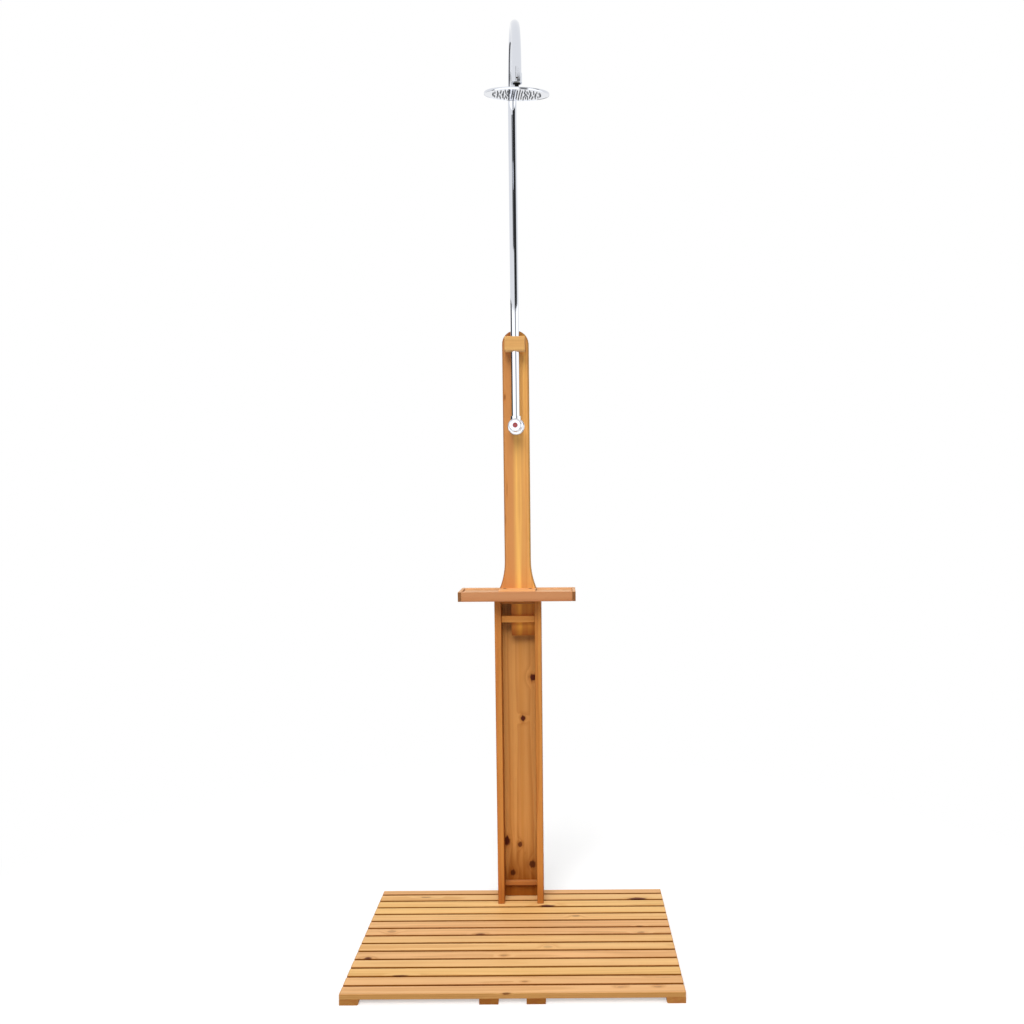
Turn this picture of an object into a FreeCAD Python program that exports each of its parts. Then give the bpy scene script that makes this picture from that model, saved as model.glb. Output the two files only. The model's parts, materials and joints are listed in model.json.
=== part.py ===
import FreeCAD, Part

import os
from types import SimpleNamespace

import Sketcher

# An outdoor shower post: a slatted foot tray, an open-fronted timber post, a shelf, a tapering plank,
# and a chrome riser with a swivelling gooseneck and a rain head on a ball joint.
# The frame: millimetres, origin on the floor under the middle of the tray, x to the right, y to the back and
# z up.

Vector = FreeCAD.Vector
Rotation = FreeCAD.Rotation

# Each driving size: its name and its value in millimetres, degrees or pieces.
SIZES = (
    # the foot tray
    ("tray_width", 900),
    ("slat_count", 13),
    ("slat_width", 40),
    ("slat_gap", 7),
    ("slat_thick", 15),
    ("rear_slat_width", 29),
    ("slat_round", 1.5),
    ("runner_width", 50),
    ("runner_height", 15),
    ("runner_round", 5),
    # the open-fronted post
    ("post_back_margin", 25),
    ("post_width", 143),
    ("post_depth", 80),
    ("post_height", 965),
    ("side_thick", 20),
    ("back_thick", 20),
    ("board_round", 1.2),
    ("cross_depth", 15),
    ("lower_cross_height", 13),
    ("lower_cross_rise", 41),
    ("upper_cross_height", 20),
    ("upper_cross_drop", 53),
    ("bearer_height", 15),
    ("bearer_inset", 10),
    # the shelf
    ("shelf_width", 354),
    ("shelf_overhang", 55),
    ("rail_height", 29),
    ("front_rail_thick", 15),
    ("end_rail_thick", 10),
    ("floor_drop", 5),
    ("centre_rise", 3),
    # the plank
    ("plank_width", 80),
    ("plank_thick", 28),
    ("plank_height", 813),
    ("plank_base_width", 112),
    ("plank_base_height", 32),
    ("cove_height", 83),
    ("plank_round", 7),
    ("tongue_width", 72),
    ("tongue_length", 116),
    ("tongue_gap", 0.5),
    # the pipe block
    ("block_width", 62),
    ("block_height", 42),
    ("block_depth", 44),
    ("block_drop", 24),
    ("block_round", 3),
    ("block_lip", 4),
    # pipes, swivel and gooseneck
    ("tube_diameter", 25),
    ("tube_wall", 1.5),
    ("pipe_standoff", 22),
    ("swivel_diameter", 34),
    ("swivel_shoulder", 3),
    ("pipe_insertion", 14),
    ("bead_diameter", 31),
    ("bead_height", 3),
    ("ring_section", 2.2),
    ("reach", 340),
    ("arm_turn", 4.7),
    ("arm_height", 625),
    ("drop_length", 36),
    ("collar_diameter", 28),
    ("collar_length", 25),
    ("lock_screw_diameter", 4),
    # the ball joint and the rain head
    ("ball_diameter", 19),
    ("ball_rise", 4.5),
    ("seat_thick", 1.2),
    ("seat_low_angle", 17),
    ("seat_high_angle", 42),
    ("seat_split_angle", 7),
    ("stem_diameter", 11),
    ("stem_flange_diameter", 18),
    ("stem_flange_thick", 2.5),
    ("neck_diameter", 20),
    ("neck_length", 4),
    ("water_bore", 5),
    ("head_tilt", 12.5),
    ("head_diameter", 170),
    ("head_drop", 32),
    ("head_rim", 5.5),
    ("rim_round", 3),
    ("crown_rise", 8.5),
    ("shell_wall", 1.5),
    ("plate_thick", 2),
    ("plate_recess", 0.5),
    ("nozzle_field", 124),
    ("nozzle_rings", 5),
    ("nozzle_diameter", 3.6),
    ("nozzle_tip_diameter", 2.2),
    ("nozzle_bore", 1),
    ("nozzle_length", 3),
    ("mat_thick", 1),
    ("head_ring_section", 1.2),
    # the valve
    ("valve_drop", 287),
    ("flange_diameter", 52),
    ("flange_thick", 4),
    ("valve_diameter", 40),
    ("valve_length", 40),
    ("boss_diameter", 32),
    ("boss_rise", 29),
    ("boss_socket", 10),
    ("boss_bore", 16),
    ("shank_diameter", 24),
    ("tail_diameter", 20.955),
    ("tail_thread", 13),
    ("tail_relief", 2),
    ("relief_depth", 1.5),
    ("tail_bore", 15),
    ("tail_reach", 26),
    ("washer_diameter", 36),
    ("washer_thick", 2.5),
    ("tail_nut_flats", 32),
    ("tail_nut_thick", 8),
    ("cartridge_diameter", 24),
    ("cartridge_length", 26),
    ("cartridge_flats", 25),
    ("cartridge_head", 4),
    ("cartridge_port", 6.4),
    ("cartridge_channel", 8),
    ("valve_stem_diameter", 8),
    ("valve_stem_length", 24),
    ("knob_diameter", 40),
    ("knob_length", 20),
    ("knob_gap", 1.5),
    ("knob_round", 4.5),
    ("knob_wall", 3.5),
    ("knob_skirt", 6.5),
    ("index_diameter", 15),
    ("index_depth", 1.5),
    ("index_flat_diameter", 7.5),
    ("index_dome", 0.5),
    # fits
    ("running_gap", 0.05),
    ("seat_gap", 0.3),
    ("hole_gap", 0.1),
    # screws: shank, head, head height and how deep the tip goes into the last board
    ("slat_screw_shank", 3.5),
    ("slat_screw_head", 7),
    ("slat_screw_bite", 11),
    ("slat_screw_offset", 15),
    ("foot_screw_shank", 5),
    ("foot_screw_head", 10),
    ("foot_screw_bite", 45),
    ("foot_screw_edge", 16),
    ("head_recess", 1.5),
    ("frame_screw_shank", 4),
    ("frame_screw_head", 8),
    ("frame_screw_bite", 20),
    ("back_screw_edge", 160),
    ("bearer_screw_edge", 6),
    ("shelf_screw_spacing", 78),
    ("shelf_screw_bite", 13),
    ("plank_screw_spacing", 44),
    ("plank_screw_edge", 30),
    ("block_screw_spacing", 48),
    ("block_screw_bite", 20),
    ("knob_screw_bite", 8),
)

size = SimpleNamespace(**{alias: f"sizes.{alias}" for alias, _ in SIZES})

# Directions that a local z axis can be turned to.
UP = Rotation()
DOWN = Rotation(Vector(1, 0, 0), 180)
TO_BACK = Rotation(Vector(1, 0, 0), -90)
TO_FRONT = Rotation(Vector(1, 0, 0), 90)
TO_RIGHT = Rotation(Vector(0, 1, 0), 90)
TO_LEFT = Rotation(Vector(0, 1, 0), -90)
ARCH = Rotation(Vector(1, 1, 1), 120)

# Derived places, as expressions over the driving sizes.
TRAY_TOP = f"({size.runner_height} + {size.slat_thick})"
SLAT_PITCH = f"({size.slat_width} + {size.slat_gap})"
TRAY_DEPTH = f"({size.slat_count} * {SLAT_PITCH} + {size.rear_slat_width})"
TRAY_FRONT = f"(-{TRAY_DEPTH} / 2)"
TRAY_BACK = f"({TRAY_DEPTH} / 2)"

POST_BACK = f"({TRAY_BACK} - {size.post_back_margin})"
POST_FRONT = f"({POST_BACK} - {size.post_depth})"
POST_TOP = f"({TRAY_TOP} + {size.post_height})"
POST_HALF = f"({size.post_width} / 2)"
INNER_HALF = f"({POST_HALF} - {size.side_thick})"
SIDE_MIDDLE = f"({POST_HALF} - {size.side_thick} / 2)"
BACK_FACE = f"({POST_BACK} - {size.back_thick})"
LOWER_CROSS_BASE = f"({TRAY_TOP} + {size.lower_cross_rise})"
UPPER_CROSS_TOP = f"({POST_TOP} - {size.upper_cross_drop})"
UPPER_CROSS_BASE = f"({UPPER_CROSS_TOP} - {size.upper_cross_height})"
BEARER_BASE = f"({POST_TOP} - {size.bearer_height})"
BEARER_FRONT = f"({POST_FRONT} + {size.bearer_inset})"

PLANK_FRONT = f"({BACK_FACE} - {size.plank_thick})"
PLANK_TOP = f"({POST_TOP} + {size.plank_height})"
PLANK_HALF = f"({size.plank_width} / 2)"
PLANK_BASE_HALF = f"({size.plank_base_width} / 2)"
ARCH_CENTRE = f"({PLANK_TOP} - {PLANK_HALF})"
COVE_BASE = f"({POST_TOP} + {size.plank_base_height})"
COVE_TOP = f"({COVE_BASE} + {size.cove_height})"
COVE_FLARE = f"({PLANK_BASE_HALF} - {PLANK_HALF})"
COVE_RADIUS = f"(({size.cove_height} ^ 2 + {COVE_FLARE} ^ 2) / (2 * {COVE_FLARE}))"
TONGUE_RIGHT = f"({INNER_HALF} - {size.tongue_gap})"
TONGUE_LEFT = f"({TONGUE_RIGHT} - {size.tongue_width})"
TONGUE_MIDDLE = f"({TONGUE_RIGHT} - {size.tongue_width} / 2)"
TONGUE_BASE = f"({POST_TOP} - {size.tongue_length})"

SHELF_HALF = f"({size.shelf_width} / 2)"
SHELF_FRONT = f"({POST_FRONT} - {size.shelf_overhang})"
RAIL_TOP = f"({POST_TOP} + {size.rail_height})"
RAIL_END = f"({SHELF_HALF} - {size.end_rail_thick})"
RAIL_BACK = f"({SHELF_FRONT} + {size.front_rail_thick})"
FLOOR_TOP = f"({RAIL_TOP} - {size.floor_drop})"
CENTRE_TOP = f"({RAIL_TOP} + {size.centre_rise})"

BLOCK_TOP = f"({PLANK_TOP} - {size.block_drop})"
BLOCK_BASE = f"({BLOCK_TOP} - {size.block_height})"
BLOCK_FRONT = f"({PLANK_FRONT} - {size.block_depth})"
BLOCK_MIDDLE = f"({BLOCK_TOP} - {size.block_height} / 2)"
PIPE_Y = f"({PLANK_FRONT} - {size.pipe_standoff})"
TUBE_RADIUS = f"({size.tube_diameter} / 2)"
TUBE_INNER = f"({TUBE_RADIUS} - {size.tube_wall})"

SWIVEL_BASE = f"({BLOCK_BASE} + {size.block_lip})"
LIP_UNDERSIDE = f"({BLOCK_TOP} - {size.block_lip})"
BEAD_TOP = f"({LIP_UNDERSIDE} - {size.seat_gap})"
BEAD_BASE = f"({BEAD_TOP} - {size.bead_height})"
SWIVEL_TOP = f"({BEAD_BASE} - {size.seat_gap})"
SHOULDER_BASE = f"({SWIVEL_BASE} + {size.pipe_insertion})"
SHOULDER_TOP = f"({SHOULDER_BASE} + {size.swivel_shoulder})"
RISER_END = f"({SHOULDER_TOP} + {size.seat_gap})"
SOCKET_RADIUS = f"({TUBE_RADIUS} + {size.running_gap})"
RING_RADIUS = f"({SOCKET_RADIUS} + {size.ring_section} / 2)"
GROOVE_RADIUS = f"({SOCKET_RADIUS} + {size.ring_section} + {size.running_gap})"
GROOVE_HEIGHT = f"({size.ring_section} + 2 * {size.hole_gap})"
SEAL_ROOM = f"({SWIVEL_TOP} - {SHOULDER_TOP})"
LOWER_SEAL = f"({SHOULDER_TOP} + {SEAL_ROOM} / 4)"
UPPER_SEAL = f"({SHOULDER_TOP} + {SEAL_ROOM} * 3 / 4)"

BEND_RADIUS = f"({size.reach} / 2)"
BEND_BASE = f"({BLOCK_TOP} + {size.arm_height})"
COLLAR_BASE = f"({BEND_BASE} - {size.drop_length})"
COLLAR_TOP = f"({COLLAR_BASE} + {size.collar_length})"
BALL_RADIUS = f"({size.ball_diameter} / 2)"
BALL_Z = f"({COLLAR_BASE} + {size.ball_rise})"
SEAT_INNER = f"({BALL_RADIUS} + {size.seat_gap})"
SEAT_OUTER = f"({SEAT_INNER} + {size.seat_thick})"
CAVITY_RADIUS = f"({SEAT_OUTER} + {size.seat_gap})"
LEG_END = f"({BALL_Z} + {CAVITY_RADIUS} + {size.tube_wall})"
BALL_X = f"({size.reach} * sin({size.arm_turn} * 1deg))"
BALL_Y = f"({PIPE_Y} - {size.reach} * cos({size.arm_turn} * 1deg))"

STEM_RADIUS = f"({size.stem_diameter} / 2)"
HEAD_RADIUS = f"({size.head_diameter} / 2)"
SHELL_INNER = f"({HEAD_RADIUS} - {size.shell_wall})"
RIM_TOP = f"(-{size.head_drop} + {size.head_rim})"
CROWN_TOP = f"({RIM_TOP} + {size.crown_rise})"
CROWN_RADIUS = f"({size.stem_flange_diameter} / 2 + {size.stem_flange_thick})"
CROWN_INNER = f"({CROWN_TOP} - {size.shell_wall})"
NECK_BASE = f"({CROWN_INNER} - {size.neck_length})"
NECK_RADIUS = f"({size.neck_diameter} / 2)"
PLATE_BASE = f"(-{size.head_drop} + {size.plate_recess})"
PLATE_TOP = f"({PLATE_BASE} + {size.plate_thick})"
PLATE_RADIUS = f"({SHELL_INNER} - {size.hole_gap})"
MAT_TOP = f"({PLATE_TOP} + {size.mat_thick})"
SEAL_RADIUS = f"({PLATE_RADIUS} - {size.head_ring_section} / 2 - {size.running_gap})"
NOZZLE_STEP = f"({size.nozzle_field} / 2 / {size.nozzle_rings})"
MAT_RADIUS = f"({size.nozzle_field} / 2 + {NOZZLE_STEP} / 2)"

VALVE_Z = f"({PLANK_TOP} - {size.valve_drop})"
TAIL_RADIUS = f"({size.tail_diameter} / 2)"
TAIL_END = f"(-{size.plank_thick} - {size.tail_reach})"
THREAD_END = f"({TAIL_END} + {size.tail_thread})"
RELIEF_RADIUS = f"({TAIL_RADIUS} - {size.relief_depth})"
SHANK_RADIUS = f"({size.shank_diameter} / 2)"
SHANK_END = f"({THREAD_END} + {size.tail_relief})"
SHANK_HOLE = f"({SHANK_RADIUS} + {size.hole_gap})"
WASHER_BACK = f"(-{size.plank_thick} - {size.washer_thick})"
CHAMBER_FLOOR = f"({size.valve_length} - {size.cartridge_length})"
CHAMBER_RADIUS = f"({size.cartridge_diameter} / 2 + {size.hole_gap})"
CARTRIDGE_TOP = f"({size.valve_length} + {size.cartridge_head})"
STEM_START = f"({size.valve_length} - {size.cartridge_length} / 2)"
STEM_END = f"({STEM_START} + {size.valve_stem_length})"
VALVE_STEM_RADIUS = f"({size.valve_stem_diameter} / 2)"
KNOB_BACK = f"({size.valve_length} + {size.knob_gap})"
KNOB_FRONT = f"({KNOB_BACK} + {size.knob_length})"
INDEX_SEAT = f"({KNOB_FRONT} - {size.index_depth})"
SKIRT_END = f"({KNOB_BACK} + {size.knob_skirt})"
SOCKET_RISE = f"({size.boss_rise} - {size.boss_socket})"
PIPE_BASE = f"({VALVE_Z} + {SOCKET_RISE} + {size.hole_gap})"
BOSS_SEAL = f"({size.boss_rise} - {size.boss_socket} / 2)"

doc = FreeCAD.newDocument("outdoor_shower_post")
sheet = doc.addObject("Spreadsheet::Sheet", "sizes")
for row, (alias, amount) in enumerate(SIZES, start=1):
    sheet.set(f"A{row}", str(amount))
    sheet.setAlias(f"A{row}", alias)
doc.recompute()

# Every sub-part, in the order in which it is made.
sub_parts = []


def value(expression):
    """The number that an expression over the sizes gives."""
    result = sheet.evalExpression(expression)
    return float(getattr(result, "Value", result))


def new_body(name, at=("0", "0", "0"), turn=UP):
    """An empty body whose own frame lies at a place that follows the sizes."""
    body = doc.addObject("PartDesign::Body", name)
    body.Label = name
    body.Placement = FreeCAD.Placement(Vector(), turn)
    for axis, place in zip("xyz", at):
        body.setExpression(f"Placement.Base.{axis}", place)
    sub_parts.append(body)
    return body


def primitive(body, kind, at=("0", "0", "0"), turn=UP, **lengths):
    """Adds or cuts away a box, cylinder, cone, sphere, torus or prism."""
    feature = body.newObject(f"PartDesign::{kind}", f"{body.Name}_{kind}")
    feature.Placement = FreeCAD.Placement(Vector(), turn)
    for axis, place in zip("xyz", at):
        feature.setExpression(f"Placement.Base.{axis}", place)
    for name, length in lengths.items():
        feature.setExpression(name, length)
    return feature


def box(body, low, high, kind="AdditiveBox"):
    """A box between two corners."""
    spans = [f"{top} - {bottom}" for bottom, top in zip(low, high)]
    return primitive(body, kind, low, Length=spans[0], Width=spans[1], Height=spans[2])


def cylinder(body, radius, base, length, at=("0", "0"), kind="AdditiveCylinder"):
    """A cylinder along the body's own z axis."""
    return primitive(body, kind, (*at, base), Radius=radius, Height=length)


def bore(body, radius, base, top, at=("0", "0")):
    """A round hole along the body's own z axis, from one height to another."""
    return cylinder(body, radius, base, f"{top} - {base}", at, "SubtractiveCylinder")


def round_edges(body, radius, wanted=None):
    """Rounds the edges of the body's last feature that a test picks, or all of them."""
    base = body.Tip
    base.recompute(True)
    names = []
    for number, edge in enumerate(base.Shape.Edges, start=1):
        if wanted is None or wanted(edge):
            names.append(f"Edge{number}")
    fillet = body.newObject("PartDesign::Fillet", f"{body.Name}_round")
    fillet.Base = (base, names)
    fillet.setExpression("Radius", radius)
    return fillet


def lies_on(edge, axis, place):
    """Whether an edge lies in the plane where one coordinate has one value."""
    bounds = edge.BoundBox
    low = getattr(bounds, f"{axis}Min")
    high = getattr(bounds, f"{axis}Max")
    return abs(low - place) < 0.01 and abs(high - place) < 0.01


def board(name, low, high, edge_round=size.board_round):
    """A board between two corners with all its edges eased."""
    body = new_body(name)
    box(body, low, high)
    round_edges(body, edge_round)
    return body


def turned(name, corners, at=("0", "0", "0"), turn=UP):
    """A body turned about its own z axis from a half section of (radius, height) corners."""
    body = new_body(name, at, turn)
    add_turned(body, corners)
    return body


def add_turned(body, corners):
    """Revolves a half section, whose corners follow the sizes, about the body's own z axis."""
    sketch = body.newObject("Sketcher::SketchObject", f"{body.Name}_section")
    plane = next(item for item in body.Origin.OriginFeatures if item.Role == "XZ_Plane")
    sketch.AttachmentSupport = (plane, [""])
    sketch.MapMode = "FlatFace"
    points = [Vector(value(radius), value(height), 0) for radius, height in corners]
    count = len(points)
    for index in range(count):
        sketch.addGeometry(Part.LineSegment(points[index], points[(index + 1) % count]), False)
    for index in range(count):
        sketch.addConstraint(Sketcher.Constraint("Coincident", index, 2, (index + 1) % count, 1))
    for index, corner in enumerate(corners):
        for kind, place, spot in zip(("DistanceX", "DistanceY"), corner, points[index]):
            number = sketch.addConstraint(Sketcher.Constraint(kind, -1, 1, index, 1, spot))
            sketch.setExpression(f"Constraints[{number}]", place)
    revolution = body.newObject("PartDesign::Revolution", f"{body.Name}_turned")
    revolution.Profile = sketch
    revolution.ReferenceAxis = (sketch, ["V_Axis"])
    revolution.Angle = 360
    sketch.Visibility = False
    return revolution


def polar(body, feature, count):
    """Repeats a feature around the body's own z axis."""
    axis = next(item for item in body.Origin.OriginFeatures if item.Role == "Z_Axis")
    pattern = body.newObject("PartDesign::PolarPattern", f"{body.Name}_ring")
    pattern.Originals = [feature]
    pattern.Axis = (axis, [""])
    pattern.Angle = 360
    pattern.setExpression("Occurrences", count)
    body.Tip = pattern
    return pattern


# Screws. A drive is a screw's seat (a point on the face where its head sits), its direction and its sizes.

HEAD_HEIGHT_SHARE = 0.3
CROSS_SHARE = 0.62
CROSS_SLOT_SHARE = 0.16


def screw_solid(shank, head, length):
    """A countersunk screw pointing down from the origin, with a cross recess in its head."""
    head_height = HEAD_HEIGHT_SHARE * head
    cone = Part.makeCone(shank / 2, head / 2, head_height, Vector(0, 0, -head_height))
    stem = Part.makeCylinder(shank / 2, length - head_height, Vector(0, 0, -length))
    solid = cone.fuse(stem).removeSplitter()
    arm = CROSS_SHARE * head
    slot = CROSS_SLOT_SHARE * head
    depth = head_height / 2
    across = Part.makeBox(arm, slot, depth, Vector(-arm / 2, -slot / 2, -depth))
    along = Part.makeBox(slot, arm, depth, Vector(-slot / 2, -arm / 2, -depth))
    return solid.cut(across.fuse(along)).Solids[0]


def screw_group(name, shank, head, length, seats, turn):
    """One node of equal screws: each seat is the middle of a head's top, turn carries down to its way in."""
    model = screw_solid(value(shank), value(head), value(length))
    copies = []
    for seat in seats:
        copy = model.copy()
        place = Vector(*(value(axis) for axis in seat[:3]))
        copy.Placement = FreeCAD.Placement(place, seat[3] if len(seat) > 3 else turn)
        copies.append(copy)
    group = doc.addObject("Part::Feature", name)
    group.Label = name
    group.Shape = Part.makeCompound(copies)
    sub_parts.append(group)
    return group


def drill(body, seat, turn, shank, head, length):
    """Cuts a screw's hole and its countersink, a little wider than the screw."""
    gap = size.hole_gap
    hole_radius = f"{shank} / 2 + {gap}"
    primitive(body, "SubtractiveCylinder", seat, turn, Radius=hole_radius, Height=f"{length} + {gap}")
    height = f"({HEAD_HEIGHT_SHARE} * {head})"
    primitive(
        body,
        "SubtractiveCone",
        seat,
        turn,
        Radius1=f"{head} / 2 + {gap}",
        Radius2=hole_radius,
        Height=height,
    )


# Where the screws sit.

OUTER_RUNNER = f"({size.tray_width} / 2 - {size.runner_width} / 2)"
INNER_SCREW = f"({SIDE_MIDDLE} + {size.slat_screw_offset})"
SLAT_SCREW_X = (f"(-{OUTER_RUNNER})", f"(-{INNER_SCREW})", INNER_SCREW, OUTER_RUNNER)
SLAT_SCREW_LENGTH = f"({size.runner_height} - {size.head_recess} + {size.slat_screw_bite})"
FOOT_SCREW_Y = (f"({POST_FRONT} + {size.foot_screw_edge})", f"({POST_BACK} - {size.foot_screw_edge})")
FOOT_SCREW_LENGTH = f"({TRAY_TOP} - {size.head_recess} + {size.foot_screw_bite})"
FRAME_SCREW_LENGTH = f"({size.side_thick} + {size.frame_screw_bite})"
BLOCK_SCREW_LENGTH = f"({size.plank_thick} + {size.block_screw_bite})"
SHELF_SCREW_LENGTH = f"({CENTRE_TOP} - {POST_TOP} + {size.shelf_screw_bite})"
SHELF_SCREW_Y = f"({BEARER_FRONT} + {size.bearer_screw_edge})"
BACK_SCREW_Y = f"({POST_BACK} - {size.back_thick} / 2)"
SIDE_SCREW_SPOTS = (
    (f"({BACK_FACE} - {size.cross_depth} / 2)", f"({LOWER_CROSS_BASE} + {size.lower_cross_height} / 2)"),
    (f"({PLANK_FRONT} - {size.cross_depth} / 2)", f"({UPPER_CROSS_TOP} - {size.upper_cross_height} / 2)"),
    (f"({PLANK_FRONT} - {size.bearer_screw_edge})", f"({POST_TOP} - {size.bearer_height} / 2)"),
    (BACK_SCREW_Y, f"({TRAY_TOP} + {size.back_screw_edge})"),
    (BACK_SCREW_Y, f"({TRAY_TOP} + {size.post_height} / 2)"),
    (BACK_SCREW_Y, f"({POST_TOP} - {size.back_screw_edge})"),
)
PLANK_SCREW_X = (
    f"({TONGUE_MIDDLE} - {size.plank_screw_spacing} / 2)",
    f"({TONGUE_MIDDLE} + {size.plank_screw_spacing} / 2)",
)
PLANK_SCREW_Z = (f"({POST_TOP} - {size.plank_screw_edge})", f"({TONGUE_BASE} + {size.plank_screw_edge})")
BLOCK_SCREW_X = (f"(-{size.block_screw_spacing} / 2)", f"({size.block_screw_spacing} / 2)")
SHELF_SCREW_X = (f"(-{size.shelf_screw_spacing} / 2)", f"({size.shelf_screw_spacing} / 2)")
RAIL_SCREW_Y = (f"({SHELF_FRONT} + {size.front_rail_thick} / 2)", BACK_SCREW_Y)
RAIL_SCREW_Z = f"({POST_TOP} + {size.rail_height} / 2)"


def make_slat(name, front, width):
    """A slat of the tray, with pilot holes for the runners' screws and the post's long ones."""
    half = f"({size.tray_width} / 2)"
    low = (f"(-{half})", front, size.runner_height)
    high = (half, f"({front} + {width})", TRAY_TOP)
    slat = board(name, low, high, size.slat_round)
    middle = f"({front} + {width} / 2)"
    for across in SLAT_SCREW_X:
        bore(
            slat,
            f"{size.slat_screw_shank} / 2 + {size.hole_gap}",
            size.runner_height,
            f"({size.runner_height} + {size.slat_screw_bite} + {size.hole_gap})",
            (across, middle),
        )
    reach = value(width) / 2 + value(size.foot_screw_shank) / 2 + value(size.hole_gap)
    for along in FOOT_SCREW_Y:
        if abs(value(along) - value(middle)) < reach:
            for side in ("-", ""):
                radius = f"{size.foot_screw_shank} / 2 + {size.hole_gap}"
                bore(slat, radius, size.runner_height, TRAY_TOP, (f"({side}{SIDE_MIDDLE})", along))
    return middle


def make_runner(name, middle, screws_x, carries_post, rounded_x=None):
    """A bearer under the slats, with countersunk holes from below."""
    half = f"({size.runner_width} / 2)"
    body = new_body(name)
    box(
        body,
        (f"({middle} - {half})", TRAY_FRONT, "0"),
        (f"({middle} + {half})", TRAY_BACK, size.runner_height),
    )
    if rounded_x is not None:
        place = value(rounded_x)
        round_edges(body, size.runner_round, lambda edge: lies_on(edge, "X", place) and lies_on(edge, "Z", 0))
    sink = f"({size.head_recess})"
    for across in screws_x:
        for along in slat_middles:
            seat = (across, along, sink)
            bore(body, f"{size.slat_screw_head} / 2 + {size.hole_gap}", "0", sink, (across, along))
            drill(body, seat, UP, size.slat_screw_shank, size.slat_screw_head, SLAT_SCREW_LENGTH)
    if carries_post:
        for along in FOOT_SCREW_Y:
            seat = (middle, along, sink)
            bore(body, f"{size.foot_screw_head} / 2 + {size.hole_gap}", "0", sink, (middle, along))
            drill(body, seat, UP, size.foot_screw_shank, size.foot_screw_head, FOOT_SCREW_LENGTH)


# The foot tray.

slat_middles = []
for index in range(int(value(size.slat_count))):
    slat_front = f"({TRAY_FRONT} + {index} * {SLAT_PITCH})"
    slat_middles.append(make_slat(f"slat_{index + 1:02d}", slat_front, size.slat_width))
rear_front = f"({TRAY_BACK} - {size.rear_slat_width})"
slat_middles.append(make_slat("slat_rear", rear_front, size.rear_slat_width))

runner_edge = f"({size.tray_width} / 2 - {size.runner_width})"
make_runner("runner_left", f"(-{OUTER_RUNNER})", SLAT_SCREW_X[:1], False, f"(-{runner_edge})")
make_runner("runner_inner_left", f"(-{SIDE_MIDDLE})", SLAT_SCREW_X[1:2], True)
make_runner("runner_inner_right", SIDE_MIDDLE, SLAT_SCREW_X[2:3], True)
make_runner("runner_right", OUTER_RUNNER, SLAT_SCREW_X[3:], False, runner_edge)

screw_group(
    "slat_screws",
    size.slat_screw_shank,
    size.slat_screw_head,
    SLAT_SCREW_LENGTH,
    [(across, along, size.head_recess) for across in SLAT_SCREW_X for along in slat_middles],
    DOWN,
)
screw_group(
    "post_foot_screws",
    size.foot_screw_shank,
    size.foot_screw_head,
    FOOT_SCREW_LENGTH,
    [(f"({side}{SIDE_MIDDLE})", along, size.head_recess) for side in ("-", "") for along in FOOT_SCREW_Y],
    DOWN,
)

# The open-fronted post.


FRAME_SCREW = (size.frame_screw_shank, size.frame_screw_head, FRAME_SCREW_LENGTH)


def make_side(name, sign, into):
    """A side board of the post, drilled from its outer face and from below."""
    inner, outer = f"({sign}{INNER_HALF})", f"({sign}{POST_HALF})"
    left, right = (outer, inner) if sign else (inner, outer)
    side = board(name, (left, POST_FRONT, TRAY_TOP), (right, POST_BACK, POST_TOP))
    for along, up in SIDE_SCREW_SPOTS:
        drill(side, (outer, along, up), into, *FRAME_SCREW)
    bite_top = f"({TRAY_TOP} + {size.foot_screw_bite} + {size.hole_gap})"
    for along in FOOT_SCREW_Y:
        radius = f"{size.foot_screw_shank} / 2 + {size.hole_gap}"
        bore(side, radius, TRAY_TOP, bite_top, (f"({sign}{SIDE_MIDDLE})", along))


def pilot_ends(body, along, up):
    """Holes in both ends of a crosspiece for the screws through the side boards."""
    for sign, into in (("-", TO_RIGHT), ("", TO_LEFT)):
        seat = (f"({sign}{POST_HALF})", along, up)
        radius = f"{size.frame_screw_shank} / 2 + {size.hole_gap}"
        primitive(body, "SubtractiveCylinder", seat, into, Radius=radius, Height=FRAME_SCREW_LENGTH)


make_side("left_side_board", "-", TO_RIGHT)
make_side("right_side_board", "", TO_LEFT)

back_board = board("back_board", (f"(-{INNER_HALF})", BACK_FACE, TRAY_TOP), (INNER_HALF, POST_BACK, POST_TOP))
for along, up in SIDE_SCREW_SPOTS[3:]:
    pilot_ends(back_board, along, up)
for across in PLANK_SCREW_X:
    for up in PLANK_SCREW_Z:
        drill(back_board, (across, POST_BACK, up), TO_FRONT, *FRAME_SCREW)

lower_cross = board(
    "lower_crosspiece",
    (f"(-{INNER_HALF})", f"({BACK_FACE} - {size.cross_depth})", LOWER_CROSS_BASE),
    (INNER_HALF, BACK_FACE, f"({LOWER_CROSS_BASE} + {size.lower_cross_height})"),
)
pilot_ends(lower_cross, *SIDE_SCREW_SPOTS[0])

upper_cross = board(
    "upper_crosspiece",
    (f"(-{INNER_HALF})", f"({PLANK_FRONT} - {size.cross_depth})", UPPER_CROSS_BASE),
    (INNER_HALF, PLANK_FRONT, UPPER_CROSS_TOP),
)
pilot_ends(upper_cross, *SIDE_SCREW_SPOTS[1])

bearer = board(
    "shelf_bearer",
    (f"(-{INNER_HALF})", BEARER_FRONT, BEARER_BASE),
    (INNER_HALF, PLANK_FRONT, POST_TOP),
)
pilot_ends(bearer, *SIDE_SCREW_SPOTS[2])
for across in SHELF_SCREW_X:
    seat = (across, SHELF_SCREW_Y, CENTRE_TOP)
    drill(bearer, seat, DOWN, size.frame_screw_shank, size.frame_screw_head, SHELF_SCREW_LENGTH)

# The shelf: three rails, two floors, the centre board and the ends.


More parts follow.
